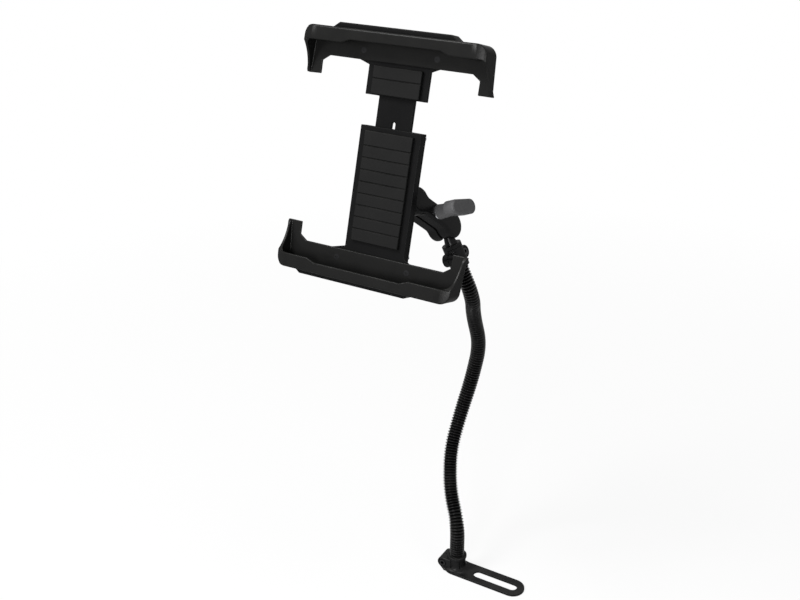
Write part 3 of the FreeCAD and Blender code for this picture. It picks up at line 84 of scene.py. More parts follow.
camera_data = bpy.data.cameras.new("photo_camera")
camera_data.lens = LENS_MM
camera_data.sensor_width = SENSOR_MM
camera_data.clip_start = NEAREST_SEEN
camera = bpy.data.objects.new("photo_camera", camera_data)
camera.location = CAMERA_PLACE
camera.rotation_mode = "QUATERNION"
camera.rotation_quaternion = CAMERA_LOOK.to_track_quat("-Z", "Y")
bpy.context.scene.collection.objects.link(camera)
bpy.context.scene.camera = camera
print("camera lens, mm:", camera_data.lens)

# %% [markdown]
# ## Helpers for node trees
#
# Every material, the world and the sleeve's shape are node trees. Written out node by node they are long and hard
# to read, so a few helpers do what repeats: add a node, join two nodes, give an input either a number or another
# node's output, and do a sum or a change of range.

# %% Node helpers


def new_material(name):
    """A material with an empty node tree."""
    material = bpy.data.materials.new(name)
    material.use_nodes = True
    material.node_tree.nodes.clear()
    return material, material.node_tree


def add(tree, kind, **settings):
    """A node of that kind with its settings."""
    node = tree.nodes.new(kind)
    for key, value in settings.items():
        setattr(node, key, value)
    return node


def wire(tree, source, target):
    """Joins an output to an input, each given as (node, socket)."""
    tree.links.new(source[0].outputs[source[1]], target[0].inputs[target[1]])


def give(tree, value, node, socket):
    """Sets an input to a plain value, or joins it to an output given as (node, socket)."""
    if isinstance(value, tuple) and len(value) == 2:
        wire(tree, value, (node, socket))
    else:
        node.inputs[socket].default_value = value


def number(tree, operation, *operands):
    """A Math node. Each operand is a number or a (node, socket)."""
    node = add(tree, "ShaderNodeMath", operation=operation)
    for n, operand in enumerate(operands):
        give(tree, operand, node, n)
    return node, "Value"


def remap(tree, value, low=0.0, high=1.0, to_low=0.0, to_high=1.0, **settings):
    """A Map Range node: what runs from low to high comes out running from to_low to to_high."""
    node = add(tree, "ShaderNodeMapRange", **settings)
    inputs = {"Value": value, "From Min": low, "From Max": high, "To Min": to_low, "To Max": to_high}
    for socket, end in inputs.items():
        give(tree, end, node, socket)
    return node, "Result"


# %% [markdown]
# ## Floor and background
#
# The background is plain white. A floor that only emits white would lose the mount's shadow, so near the mount it
# is mostly white light to the camera and partly an ordinary pale surface. The world is white to the camera, to
# mirror rays and through glass, and much dimmer to the rest, so that black plastic keeps its darks.

# %% Floor
FLOOR_SIZE = 60.0
FLOOR_COLOR = (0.9, 0.9, 0.9, 1)
NEAR_WHITE_SHARE = 0.88
SHADOW_REACH = 1.4


def background_rays(tree):
    """One for the rays that show the background: camera rays, mirror rays and rays through glass."""
    path = add(tree, "ShaderNodeLightPath")
    mirrored = number(tree, "MAXIMUM", (path, "Is Camera Ray"), (path, "Is Glossy Ray"))
    return number(tree, "MAXIMUM", mirrored, (path, "Is Transmission Ray"))


def pale_floor():
    """Plain white far from the mount. Near it some ordinary surface is left, which holds the shadow."""
    material, tree = new_material("pale_floor")
    out = add(tree, "ShaderNodeOutputMaterial")
    surface = add(tree, "ShaderNodeBsdfDiffuse")
    surface.inputs["Color"].default_value = FLOOR_COLOR
    white = add(tree, "ShaderNodeEmission")
    mix = add(tree, "ShaderNodeMixShader")
    place = add(tree, "ShaderNodeTexCoord")
    distance = add(tree, "ShaderNodeVectorMath", operation="LENGTH")
    wire(tree, (place, "Object"), (distance, 0))
    share = remap(tree, (distance, "Value"), SHADOW_REACH / 4, SHADOW_REACH, NEAR_WHITE_SHARE)
    wire(tree, number(tree, "MULTIPLY", share, background_rays(tree)), (mix, 0))
    wire(tree, (surface, "BSDF"), (mix, 1))
    wire(tree, (white, "Emission"), (mix, 2))
    wire(tree, (mix, "Shader"), (out, "Surface"))
    return material


half = FLOOR_SIZE / 2
floor_corners = [(-half, -half, 0), (half, -half, 0), (half, half, 0), (-half, half, 0)]
floor_mesh = bpy.data.meshes.new("floor")
floor_mesh.from_pydata(floor_corners, [], [(0, 1, 2, 3)])
floor_mesh.materials.append(pale_floor())
floor = bpy.data.objects.new("floor", floor_mesh)
bpy.context.scene.collection.objects.link(floor)
print("floor, m:", FLOOR_SIZE)

# %% World
WORLD_FILL = 0.07
WHITE = (1, 1, 1, 1)


def studio_world():
    """White where the background shows, and a weak white fill light for everything else."""
    world = bpy.data.worlds.new("studio")
    world.use_nodes = True
    tree = world.node_tree
    tree.nodes.clear()
    out = add(tree, "ShaderNodeOutputWorld")
    white = add(tree, "ShaderNodeBackground")
    white.inputs["Color"].default_value = WHITE
    fill = add(tree, "ShaderNodeBackground")
    fill.inputs["Color"].default_value = WHITE
    fill.inputs["Strength"].default_value = WORLD_FILL
    mix = add(tree, "ShaderNodeMixShader")
    wire(tree, background_rays(tree), (mix, 0))
    wire(tree, (fill, "Background"), (mix, 1))
    wire(tree, (white, "Background"), (mix, 2))
    wire(tree, (mix, "Shader"), (out, "Surface"))
    return world


bpy.context.scene.world = studio_world()
bpy.context.scene.view_settings.view_transform = "Standard"
print("world fill:", WORLD_FILL)

# %% [markdown]
# ## Light
#
# Black plastic shows its form by what it mirrors, so the lamps are soft panels, as in a studio. A strong one high
# on the left lights the tops, a weak one overhead opens the shadows, and a small one low in front is mirrored by
# the rounded right end of each cup's lip, which gives the bright corner that such a cup has.

# %% Light panels
MIDDLE_OF_MOUNT = (cad_low + cad_high) / 2
# Name, place, width, height, watts
PANELS = [
    ("left_panel", (-1.0, -1.0, 2.1), 0.7, 0.9, 44.0),
    ("top_panel", (0.5, 0.1, 2.1), 0.8, 0.6, 9.0),
    ("front_panel", (0.28, -1.65, 0.9), 0.45, 0.5, 20.0),
]


def light_panel(name, place, width, height, watts):
    """A soft rectangular lamp that faces the middle of the mount."""
    data = bpy.data.lights.new(name, "AREA")
    data.shape = "RECTANGLE"
    data.size = width
    data.size_y = height
    data.energy = watts
    lamp = bpy.data.objects.new(name, data)
    lamp.location = place
    lamp.rotation_mode = "QUATERNION"
    lamp.rotation_quaternion = (MIDDLE_OF_MOUNT - Vector(place)).to_track_quat("-Z", "Y")
    bpy.context.scene.collection.objects.link(lamp)


for panel in PANELS:
    light_panel(*panel)
print("light panels:", len(PANELS))

# %% [markdown]
# ## Shared surface effects
#
# Moulded plastic, powder coat and rubber all have a fine grain, a slow change of tone and a little dust on what
# faces up, and turned steel has fine lines. Each effect is a node group with named inputs, built once and set to
# its own values in every finish. The groups read Object coordinates, because every piece sits at the origin with
# its place in its mesh, so the pattern stays put when a joint moves.

# %% Grain group
GRAIN_DETAIL = 3.0
GRAIN_ROUGHNESS = 0.6
WAVE_DETAIL = 2.0
WAVE_SHARE = 0.35


def new_group(name, inputs, outputs):
    """A shader node group with float inputs, each given with its usual value."""
    group = bpy.data.node_groups.new(name, "ShaderNodeTree")
    for label, value in inputs:
        socket = group.interface.new_socket(label, in_out="INPUT", socket_type="NodeSocketFloat")
        socket.default_value = value
    for label in outputs:
        group.interface.new_socket(label, in_out="OUTPUT", socket_type="NodeSocketFloat")
    return group, add(group, "NodeGroupInput"), add(group, "NodeGroupOutput")


def make_grain():
    """Fine moulded grain over a slow unevenness. Grain Size is grains per metre."""
    group, given, result = new_group("surface_grain", [("Grain Size", 2500.0), ("Waves", 60.0)], ["Height", "Tone"])
    place = add(group, "ShaderNodeTexCoord")
    grain = add(group, "ShaderNodeTexNoise")
    grain.inputs["Detail"].default_value = GRAIN_DETAIL
    grain.inputs["Roughness"].default_value = GRAIN_ROUGHNESS
    waves = add(group, "ShaderNodeTexNoise")
    waves.inputs["Detail"].default_value = WAVE_DETAIL
    for noise, size in ((grain, "Grain Size"), (waves, "Waves")):
        wire(group, (place, "Object"), (noise, "Vector"))
        wire(group, (given, size), (noise, "Scale"))
    low = number(group, "MULTIPLY", (waves, "Fac"), WAVE_SHARE)
    wire(group, number(group, "ADD", (grain, "Fac"), low), (result, "Height"))
    wire(group, (waves, "Fac"), (result, "Tone"))
    return group


surface_grain = make_grain()
print("grain group nodes:", len(surface_grain.nodes))

# %% Dust group
LEAST_UPWARD = 0.2
PATCH_DETAIL = 6.0
PATCH_START, PATCH_FULL = 0.35, 0.75


def make_dust():
    """A patchy mask of dust on what faces up."""
    group, given, result = new_group("settled_dust", [("Amount", 0.2), ("Patch Size", 35.0)], ["Dust"])
    place = add(group, "ShaderNodeTexCoord")
    facing = add(group, "ShaderNodeNewGeometry")
    split = add(group, "ShaderNodeSeparateXYZ")
    wire(group, (facing, "Normal"), (split, 0))
    up = remap(group, (split, "Z"), LEAST_UPWARD)
    patches = add(group, "ShaderNodeTexNoise")
    patches.inputs["Detail"].default_value = PATCH_DETAIL
    wire(group, (place, "Object"), (patches, "Vector"))
    wire(group, (given, "Patch Size"), (patches, "Scale"))
    spread = remap(group, (patches, "Fac"), PATCH_START, PATCH_FULL)
    both = number(group, "MULTIPLY", up, spread)
    wire(group, number(group, "MULTIPLY", both, (given, "Amount")), (result, "Dust"))
    return group


settled_dust = make_dust()
print("dust group nodes:", len(settled_dust.nodes))

# %% Turning lines group
LINE_STRETCH = (0.15, 0.15, 1.0)
LINE_DETAIL = 4.0


def make_turning_lines():
    """Fine lines across one axis of the piece, as a lathe leaves them. Lines is how many there are in a metre."""
    group, given, result = new_group("turning_lines", [("Lines", 900.0)], ["Height"])
    place = add(group, "ShaderNodeTexCoord")
    stretch = add(group, "ShaderNodeMapping")
    stretch.inputs["Scale"].default_value = LINE_STRETCH
    noise = add(group, "ShaderNodeTexNoise")
    noise.inputs["Detail"].default_value = LINE_DETAIL
    wire(group, (place, "Object"), (stretch, "Vector"))
    wire(group, (stretch, "Vector"), (noise, "Vector"))
    wire(group, (given, "Lines"), (noise, "Scale"))
    wire(group, (noise, "Fac"), (result, "Height"))
    return group


turning_lines = make_turning_lines()
print("turning lines group nodes:", len(turning_lines.nodes))

# %% [markdown]
# ## Parts of a finish
#
# A finish on this mount is a colour in two close tones, a roughness that follows the same pattern, and a relief
# too fine to model. The helpers below do one of these each, so that a finish reads as a short list.

# %% Finish helpers
EDGE_SAMPLES = 4


def place_group(tree, group, **values):
    """A shared effect in a material, with its own values."""
    node = add(tree, "ShaderNodeGroup")
    node.node_tree = group
    for label, value in values.items():
        node.inputs[label.replace("_", " ")].default_value = value
    return node


def blended(tree, share, first, second):
    """A blend of two colours. Each is its four channels or a (node, socket)."""
    mix = add(tree, "ShaderNodeMix", data_type="RGBA")
    wire(tree, share, (mix, "Factor"))
    give(tree, first, mix, "A")
    give(tree, second, mix, "B")
    return mix, "Result"


def set_roughness(tree, shader, roughness, spread, pattern):
    """Lets the roughness follow a pattern, from a little smoother to a little rougher."""
    rough = remap(tree, pattern, to_low=roughness * (1 - spread), to_high=min(1.0, roughness * (1 + spread)))
    wire(tree, rough, (shader, "Roughness"))


def lay_relief(tree, shader, height, strength, depth, edge=0.0):
    """A fine relief in the shading. Edge is the radius, in metres, to which sharp edges are shaded round first."""
    bump = add(tree, "ShaderNodeBump")
    bump.inputs["Strength"].default_value = strength
    bump.inputs["Distance"].default_value = depth
    wire(tree, height, (bump, "Height"))
    if edge:
        soft = add(tree, "ShaderNodeBevel", samples=EDGE_SAMPLES)
        soft.inputs["Radius"].default_value = edge
        wire(tree, (soft, "Normal"), (bump, "Normal"))
    wire(tree, (bump, "Normal"), (shader, "Normal"))


# %% [markdown]
# ## Dark finishes
#
# Nearly all of the mount is black, yet its parts don't look alike. The cups are satin mouldings, the cradle
# behind them is duller, the arm and the clamps are glossy painted castings, the seat plate is powder coated, and
# the balls and pads are rubber. One builder makes all of these, and what differs is only the numbers that a maker
# would state. A flat black surface seen edge on mirrors the whole white studio and turns grey, so Layer Weight
# takes most of the shine away there. The sleeve's ribs shine on their crests and towards the outline instead.

# %% Dark finishes
DUST_COLOR = (0.32, 0.31, 0.29, 1)
DUST_AMOUNT = 0.05
TONE_SPREAD = 0.15
ROUGHNESS_SPREAD = 0.15
UNEVENNESS = 45.0
RELIEF_STRENGTH = 0.5
# Layer Weight's Facing, between which the shine changes, and the share of a rib's height that counts as its crest
SEEN_FACING, SEEN_EDGE_ON = 0.15, 0.6
CREST_START, CREST_FULL = 0.3, 0.95


def shine_by_angle(tree, shine, rim_shine, ribbed):
    """The shine where the surface faces the eye, changing to rim_shine times as much where it is seen edge on.

    A ribbed surface shines only on its crests, which its mesh marks."""
    angle = add(tree, "ShaderNodeLayerWeight")
    level = remap(tree, (angle, "Facing"), SEEN_FACING, SEEN_EDGE_ON, shine, rim_shine * shine)
    if ribbed:
        crest = add(tree, "ShaderNodeAttribute", attribute_name="crest")
        level = number(tree, "MULTIPLY", level, remap(tree, (crest, "Fac"), CREST_START, CREST_FULL))
    return level


def dark_finish(name, color, roughness, shine, grain, depth, edge=0.0, rim_shine=0.1, ribbed=False):
    """A moulded, cast or coated dark surface. Depth is the grain's height and edge the rounding, in metres."""
    material, tree = new_material(name)
    out = add(tree, "ShaderNodeOutputMaterial")
    shader = add(tree, "ShaderNodeBsdfPrincipled")
    # The socket's own value is what an exported model keeps, since it can't carry a linked shine
    shader.inputs["Specular IOR Level"].default_value = shine
    wire(tree, shine_by_angle(tree, shine, rim_shine, ribbed), (shader, "Specular IOR Level"))
    texture = place_group(tree, surface_grain, Grain_Size=grain, Waves=UNEVENNESS)
    settled = place_group(tree, settled_dust, Amount=DUST_AMOUNT)
    darker = (*[channel * (1 - TONE_SPREAD) for channel in color], 1)
    lighter = (*[channel * (1 + TONE_SPREAD) for channel in color], 1)
    tones = blended(tree, (texture, "Tone"), darker, lighter)
    wire(tree, blended(tree, (settled, "Dust"), tones, DUST_COLOR), (shader, "Base Color"))
    set_roughness(tree, shader, roughness, ROUGHNESS_SPREAD, (texture, "Tone"))
    lay_relief(tree, shader, (texture, "Height"), RELIEF_STRENGTH, depth, edge)
    wire(tree, (shader, "BSDF"), (out, "Surface"))
    return material


cup_plastic = dark_finish("cup_plastic", (0.0078, 0.0078, 0.0076), roughness=0.29, shine=0.085,
                          grain=2200.0, depth=0.00005, edge=0.0006)
cradle_plastic = dark_finish("cradle_plastic", (0.0042, 0.0042, 0.0044), roughness=0.38, shine=0.055,
                             grain=2600.0, depth=0.00008, edge=0.0004)
casting_paint = dark_finish("casting_paint", (0.005, 0.005, 0.0053), roughness=0.26, shine=0.1,
                            grain=1600.0, depth=0.0001, edge=0.0004)
plate_paint = dark_finish("plate_paint", (0.009, 0.009, 0.0092), roughness=0.28, shine=0.08,
                          grain=1400.0, depth=0.00012, edge=0.0003)
sleeve_plastic = dark_finish("sleeve_plastic", (0.0012, 0.0012, 0.0013), roughness=0.25, shine=0.1,
                             grain=900.0, depth=0.00003, rim_shine=6.0, ribbed=True)
knob_plastic = dark_finish("knob_plastic", (0.085, 0.085, 0.087), roughness=0.45, shine=0.1,
                           grain=1800.0, depth=0.0002, edge=0.0005)
ball_rubber = dark_finish("ball_rubber", (0.006, 0.006, 0.006), roughness=0.7, shine=0.3,
                          grain=3000.0, depth=0.00015)
pad_rubber = dark_finish("pad_rubber", (0.006, 0.006, 0.006), roughness=0.7, shine=0.1,
                         grain=2800.0, depth=0.0002, edge=0.0003)
print("nodes in one dark finish:", len(cup_plastic.node_tree.nodes))

# %% [markdown]
# ## Metal finishes
#
# The screws, the bolt, the springs, the rod and the knob's insert are bare or blackened metal. Metal needs no
# shine value, only a colour and a roughness. What makes it look turned or drawn is the pattern of fine lines,
# which drives both the roughness and the relief.

# %% Metal finishes
METAL_GRAIN = 600.0
METAL_UNEVENNESS = 120.0
DULL_SHARE = 0.82
METAL_SPREAD = 0.3
LINE_STRENGTH = 0.4


def metal_finish(name, color, roughness, lines, depth):
    """Bare turned or drawn metal. Lines is how many there are in a metre, and depth is their height."""
    material, tree = new_material(name)
    out = add(tree, "ShaderNodeOutputMaterial")
    shader = add(tree, "ShaderNodeBsdfPrincipled")
    shader.inputs["Metallic"].default_value = 1.0
    marks = place_group(tree, turning_lines, Lines=lines)
    texture = place_group(tree, surface_grain, Grain_Size=METAL_GRAIN, Waves=METAL_UNEVENNESS)
    dull = (*[channel * DULL_SHARE for channel in color], 1)
    wire(tree, blended(tree, (texture, "Tone"), dull, (*color, 1)), (shader, "Base Color"))
    set_roughness(tree, shader, roughness, METAL_SPREAD, (marks, "Height"))
    lay_relief(tree, shader, (marks, "Height"), LINE_STRENGTH, depth)
    wire(tree, (shader, "BSDF"), (out, "Surface"))
    return material


screw_steel = metal_finish("screw_steel", (0.56, 0.56, 0.58), roughness=0.3, lines=1500.0, depth=0.00005)
black_steel = metal_finish("black_steel", (0.028, 0.028, 0.029), roughness=0.35, lines=1500.0, depth=0.00005)
spring_wire = metal_finish("spring_wire", (0.5, 0.5, 0.52), roughness=0.25, lines=2500.0, depth=0.00003)
rod_metal = metal_finish("rod_metal", (0.72, 0.73, 0.75), roughness=0.35, lines=700.0, depth=0.00008)
insert_brass = metal_finish("insert_brass", (0.76, 0.58, 0.27), roughness=0.3, lines=1500.0, depth=0.00005)
print("nodes in one metal finish:", len(screw_steel.node_tree.nodes))

# %% [markdown]
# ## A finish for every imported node
#
# Screws, bolt, balls and springs keep their CAD shape and only need a finish. The pieces that are replaced further
# down get theirs here too, so that no node is left without one.

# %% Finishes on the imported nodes
FINISHES = [
    (plate_paint, ["base_plate"]),
    (casting_paint, ["rod_head", "rod_head_cap", "arm_half_fixed", "arm_half_moving", "ball_base"]),
    (black_steel, ["base_clamp_screw", "base_clamp_nut", "rod_head_screws", "bottom_cup_screws", "top_cup_screws"]),
    (screw_steel, ["arm_bolt", "arm_washer", "ball_base_screws", "cover_screws", "stop_screw"]),
    (spring_wire, ["arm_spring", "tension_springs"]),
    (rod_metal, ["flex_rod"]),
    (insert_brass, ["knob_insert"]),
    (sleeve_plastic, ["ribbed_sleeve"]),
    (knob_plastic, ["clamp_knob"]),
    (ball_rubber, ["lower_ball", "upper_ball"]),
    (cradle_plastic, ["cradle_housing", "cradle_cover", "cradle_slider"]),
    (cup_plastic, ["bottom_cup", "top_cup"]),
    (pad_rubber, ["lower_pad", "upper_pad"]),
]
for material, names in FINISHES:
    for node in names:
        nodes[node].data.materials.clear()
        nodes[node].data.materials.append(material)
print("nodes with a finish:", sum(len(names) for material, names in FINISHES), "of", len(nodes))

# %% [markdown]
# ## Pieces that replace a CAD node
#
# A CAD node keeps its own place and body, but its mesh is never edited. A piece that stands for a node is a new
# object at the origin, rides on the same body, which is read from the record, and takes the finish that it is given.

# %% Stand for a node
BODY_OF = {node: body for body, members in frame["record"]["behaviour"]["bodies"].items() for node in members}


def stand_for(mesh, name, node, material):
    """Makes the visible object of a mesh and lets it stand for a CAD node."""
    piece = bpy.data.objects.new(name, mesh)
    bpy.context.scene.collection.objects.link(piece)
    mesh.materials.clear()
    mesh.materials.append(material)
    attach(piece, BODY_OF[node])
    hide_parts(node)
    return piece


# %% [markdown]
# ## The line of the bent rod
#
# The rod is bent by hand into a slack curve from the seat plate to the head clamp. Its line is a short list of
# corner points, and each corner is rounded as far as its shorter side allows, which is how a tube bender would
# state it. The sleeve starts a little above the plate and ends under the head clamp.

# %% The rod's line
FOOT = Vector((-0.05415, 0, 0))
ROD_CORNERS = [
    (0.0, 0.0, 0.0035),
    (0.0, 0.0, 0.066),
    (-0.0241, 0.0227, 0.098),
    (-0.0375, 0.0475, 0.138),
    (-0.0358, 0.0691, 0.18),
    (-0.0284, 0.0832, 0.226),
    (-0.0201, 0.0853, 0.274),
    (-0.024, 0.0724, 0.318),
    (-0.0128, 0.0471, 0.3548),
    (-0.0372, 0.0407, 0.4136),
]
BEND_SHARE = 0.45


def rod_line():
    """The rod's corner points as a chain of edges. Each corner carries the radius of its bend."""
    points = [FOOT + Vector(corner) for corner in ROD_CORNERS]
    mesh = bpy.data.meshes.new("rod_line")
    mesh.from_pydata(points, [(n, n + 1) for n in range(len(points) - 1)], [])
    bends = mesh.attributes.new("bend_radius", "FLOAT", "POINT")
    for n in range(1, len(points) - 1):
        back, forward = points[n - 1] - points[n], points[n + 1] - points[n]
        reach = BEND_SHARE * min(back.length, forward.length)
        half_turn = (math.pi - back.angle(forward)) / 2
        bends.data[n].value = reach / math.tan(half_turn)
    return mesh


print("bends in the rod:", len(ROD_CORNERS) - 2)

# %% [markdown]
# ## Ribbed sleeve
#
# The sleeve is a corrugated hose of soft black plastic over the aluminium rod. Its 120 ribs repeat along a bent
# line, which is what Geometry Nodes do well: one tree takes the rod's corner points, rounds each corner, cuts the
# line to the sleeve's length, lets its radius rise and fall once for each rib and sweeps a circle along it. Only
# the tree's inputs say how many ribs there are, so the same tree would make any other hose.

# %% Smooth line of the hose
STEPS_PER_BEND = 40
STEPS_PER_RIB = 10
# Trim Curve has one pair of ends for its factor mode and another for its length mode
TRIM_START, TRIM_END = 4, 5


def smooth_line(tree, given):
    """The corner points as a smooth line of the hose's length, with the same number of steps in every rib."""
    line = add(tree, "GeometryNodeMeshToCurve")
    wire(tree, (given, "Geometry"), (line, "Mesh"))
    bend = add(tree, "GeometryNodeInputNamedAttribute", data_type="FLOAT")
    bend.inputs["Name"].default_value = "bend_radius"
    rounded = add(tree, "GeometryNodeFilletCurve", mode="POLY")
    rounded.inputs["Count"].default_value = STEPS_PER_BEND
    wire(tree, (line, "Curve"), (rounded, "Curve"))
    wire(tree, (bend, "Attribute"), (rounded, "Radius"))
    cut = add(tree, "GeometryNodeTrimCurve", mode="LENGTH")
    wire(tree, (rounded, "Curve"), (cut, "Curve"))
    wire(tree, (given, "Start"), (cut, TRIM_START))
    wire(tree, number(tree, "ADD", (given, "Start"), (given, "Length")), (cut, TRIM_END))
    even = add(tree, "GeometryNodeResampleCurve")
    wire(tree, (cut, "Curve"), (even, "Curve"))
    wire(tree, number(tree, "MULTIPLY_ADD", (given, "Ribs"), float(STEPS_PER_RIB), 1.0), (even, "Count"))
    return even, "Curve"


# %% Rise and fall of the ribs
# Where the wave leaves the valley and reaches the crest: it runs from 1 in a valley to -1 on a crest
VALLEY_END, CREST_END = 0.85, -0.95


def rib_wave(tree, given):
    """One rise and fall for each rib, as a radius with rounded crests and as a share from 0 to 1."""
    along = add(tree, "GeometryNodeSplineParameter")
    turns = number(tree, "MULTIPLY", (along, "Factor"), (given, "Ribs"))
    wave = number(tree, "COSINE", number(tree, "MULTIPLY", turns, 2 * math.pi))
    radius = remap(tree, wave, VALLEY_END, CREST_END, (given, "Valley Radius"), (given, "Crest Radius"),
                   interpolation_type="SMOOTHSTEP")
    return radius, remap(tree, wave, VALLEY_END, CREST_END)


# %% Hose tree
ROUND_STEPS = 36


def new_shaping(name, inputs):
    """A Geometry Nodes tree with a mesh in and a mesh out, and named inputs of (name, kind, usual value)."""
    tree = bpy.data.node_groups.new(name, "GeometryNodeTree")
    tree.interface.new_socket("Geometry", in_out="INPUT", socket_type="NodeSocketGeometry")
    for label, kind, value in inputs:
        socket = tree.interface.new_socket(label, in_out="INPUT", socket_type=kind)
        if value is not None:
            socket.default_value = value
    tree.interface.new_socket("Geometry", in_out="OUTPUT", socket_type="NodeSocketGeometry")
    return tree, add(tree, "NodeGroupInput"), add(tree, "NodeGroupOutput")


def make_hose_tree():
    """A hose along a chain of points: rounded corners, ribs, and a plain bore."""
    tree, given, result = new_shaping("ribbed_hose", [
        ("Start", "NodeSocketFloat", 0.0),
        ("Length", "NodeSocketFloat", 0.4),
        ("Ribs", "NodeSocketInt", 120),
        ("Crest Radius", "NodeSocketFloat", 0.009),
        ("Valley Radius", "NodeSocketFloat", 0.0078),
        ("Bore Radius", "NodeSocketFloat", 0.0066),
        ("Material", "NodeSocketMaterial", None),
    ])
    radius, crest = rib_wave(tree, given)
    # The wave is kept on the points too: the finish is matt in the valleys and glossy on the crests
    marked = add(tree, "GeometryNodeStoreNamedAttribute", data_type="FLOAT", domain="POINT")
    marked.inputs["Name"].default_value = "crest"
    wire(tree, smooth_line(tree, given), (marked, "Geometry"))
    wire(tree, crest, (marked, "Value"))
    # A circle of radius 1 is swept twice. Its size along the line goes into Scale, in metres
    circle = add(tree, "GeometryNodeCurvePrimitiveCircle")
    circle.inputs["Resolution"].default_value = ROUND_STEPS
    circle.inputs["Radius"].default_value = 1.0
    walls = []
    for size in (radius, (given, "Bore Radius")):
        swept = add(tree, "GeometryNodeCurveToMesh")
        wire(tree, (marked, "Geometry"), (swept, "Curve"))
        wire(tree, (circle, "Curve"), (swept, "Profile Curve"))
        wire(tree, size, (swept, "Scale"))
        walls.append(swept)
    inside = add(tree, "GeometryNodeFlipFaces")
    wire(tree, (walls[1], "Mesh"), (inside, "Mesh"))
    both = add(tree, "GeometryNodeJoinGeometry")
    wire(tree, (inside, "Mesh"), (both, "Geometry"))
    wire(tree, (walls[0], "Mesh"), (both, "Geometry"))
    soft = add(tree, "GeometryNodeSetShadeSmooth")
    wire(tree, (both, "Geometry"), (soft, "Geometry"))
    real = add(tree, "GeometryNodeRealizeInstances")
    wire(tree, (soft, "Geometry"), (real, "Geometry"))
    painted = add(tree, "GeometryNodeSetMaterial")
    wire(tree, (real, "Geometry"), (painted, "Geometry"))
    wire(tree, (given, "Material"), (painted, "Material"))
    wire(tree, (painted, "Geometry"), (result, "Geometry"))
    return tree


hose_tree = make_hose_tree()
print("hose tree nodes:", len(hose_tree.nodes))

# %% [markdown]
# ## From the tree to a plain mesh
#
# A modifier runs the tree on the rod's line, and the result is taken as a plain mesh, so nothing live is left on
# the piece. The two walls of the hose end in open rims, which are joined at both ends to make one closed body.

# %% Sleeve
SLEEVE_START = 0.0128
SLEEVE_LENGTH = 0.4203
# Longer than a rim is wide and much shorter than the sleeve
NEAR_LOW_END = 0.03


def shaped(tree, start_mesh, name, **values):
    """Runs a tree on a mesh with the given input values and returns the plain mesh that comes out."""
    maker = bpy.data.objects.new(name + "_maker", start_mesh)
    bpy.context.scene.collection.objects.link(maker)
    modifier = maker.modifiers.new("shaping", "NODES")
    modifier.node_group = tree
    sockets = {item.name: item.identifier for item in tree.interface.items_tree if item.in_out == "INPUT"}
    for label, value in values.items():
        modifier[sockets[label.replace("_", " ")]] = value
    mesh = bpy.data.meshes.new_from_object(maker.evaluated_get(bpy.context.evaluated_depsgraph_get()))
    mesh.name = name
    bpy.data.objects.remove(maker)
    return mesh


def close_ends(mesh):
    """Joins the outer wall's rim to the bore's rim at both ends."""
    work = bmesh.new()
    work.from_mesh(mesh)
    rims = [edge for edge in work.edges if edge.is_boundary]
    low = min(rims, key=lambda edge: edge.verts[0].co.z).verts[0].co.copy()
    near = [edge for edge in rims if (edge.verts[0].co - low).length < NEAR_LOW_END]
    far = [edge for edge in rims if (edge.verts[0].co - low).length >= NEAR_LOW_END]
    for rim in (near, far):
        bmesh.ops.bridge_loops(work, edges=rim)
    bmesh.ops.recalc_face_normals(work, faces=work.faces)
    work.to_mesh(mesh)
    work.free()


sleeve_mesh = shaped(hose_tree, rod_line(), "sleeve_ribs", Start=SLEEVE_START, Length=SLEEVE_LENGTH, Ribs=120,
                     Crest_Radius=0.0091, Valley_Radius=0.0073, Bore_Radius=0.0066, Material=sleeve_plastic)
close_ends(sleeve_mesh)
sleeve = stand_for(sleeve_mesh, "sleeve_ribs", "ribbed_sleeve", sleeve_plastic)
print("sleeve faces:", len(sleeve_mesh.polygons), "size, mm:", [round(1000 * side) for side in sleeve.dimensions])

# %% [markdown]
# ## Copies of the CAD pieces
#
# No cast or moulded edge is truly sharp, and a sharp one catches no light, which is what makes a render look like
# a drawing. A CAD mesh is loose triangles, so each hard piece starts as a copy whose faces share their points.
# The base collar also has two upright joint lines in front, where its mould parted. They are cut into the copy
# with a Boolean before any edge is rounded, so that their rims are rounded with the rest.

# %% Merged copies and grooves
SAME_POINT = 2e-6
# Direction in degrees, radius, width, depth, low end and high end of each groove
GROOVES = {
    "base_plate": [
        (-101, 0.0113, 0.0012, 0.0009, 0.0034, 0.0186),
        (-39, 0.0111, 0.0015, 0.0008, 0.0062, 0.0162),
    ],
}


def merged_copy(node):
    """A copy of a CAD mesh whose faces share their points."""
    mesh = nodes[node].data.copy()
    work = bmesh.new()
    work.from_mesh(mesh)
    bmesh.ops.remove_doubles(work, verts=work.verts, dist=SAME_POINT)
    for face in work.faces:
        face.smooth = True
    work.to_mesh(mesh)
    work.free()
    return mesh


def with_modifier(mesh, kind, **settings):
    """The plain mesh that a modifier makes of a mesh."""
    maker = bpy.data.objects.new("maker", mesh)
    bpy.context.scene.collection.objects.link(maker)
    modifier = maker.modifiers.new("maker", kind)
    for key, value in settings.items():
        setattr(modifier, key, value)
    made = bpy.data.meshes.new_from_object(maker.evaluated_get(bpy.context.evaluated_depsgraph_get()))
    bpy.data.objects.remove(maker)
    return made


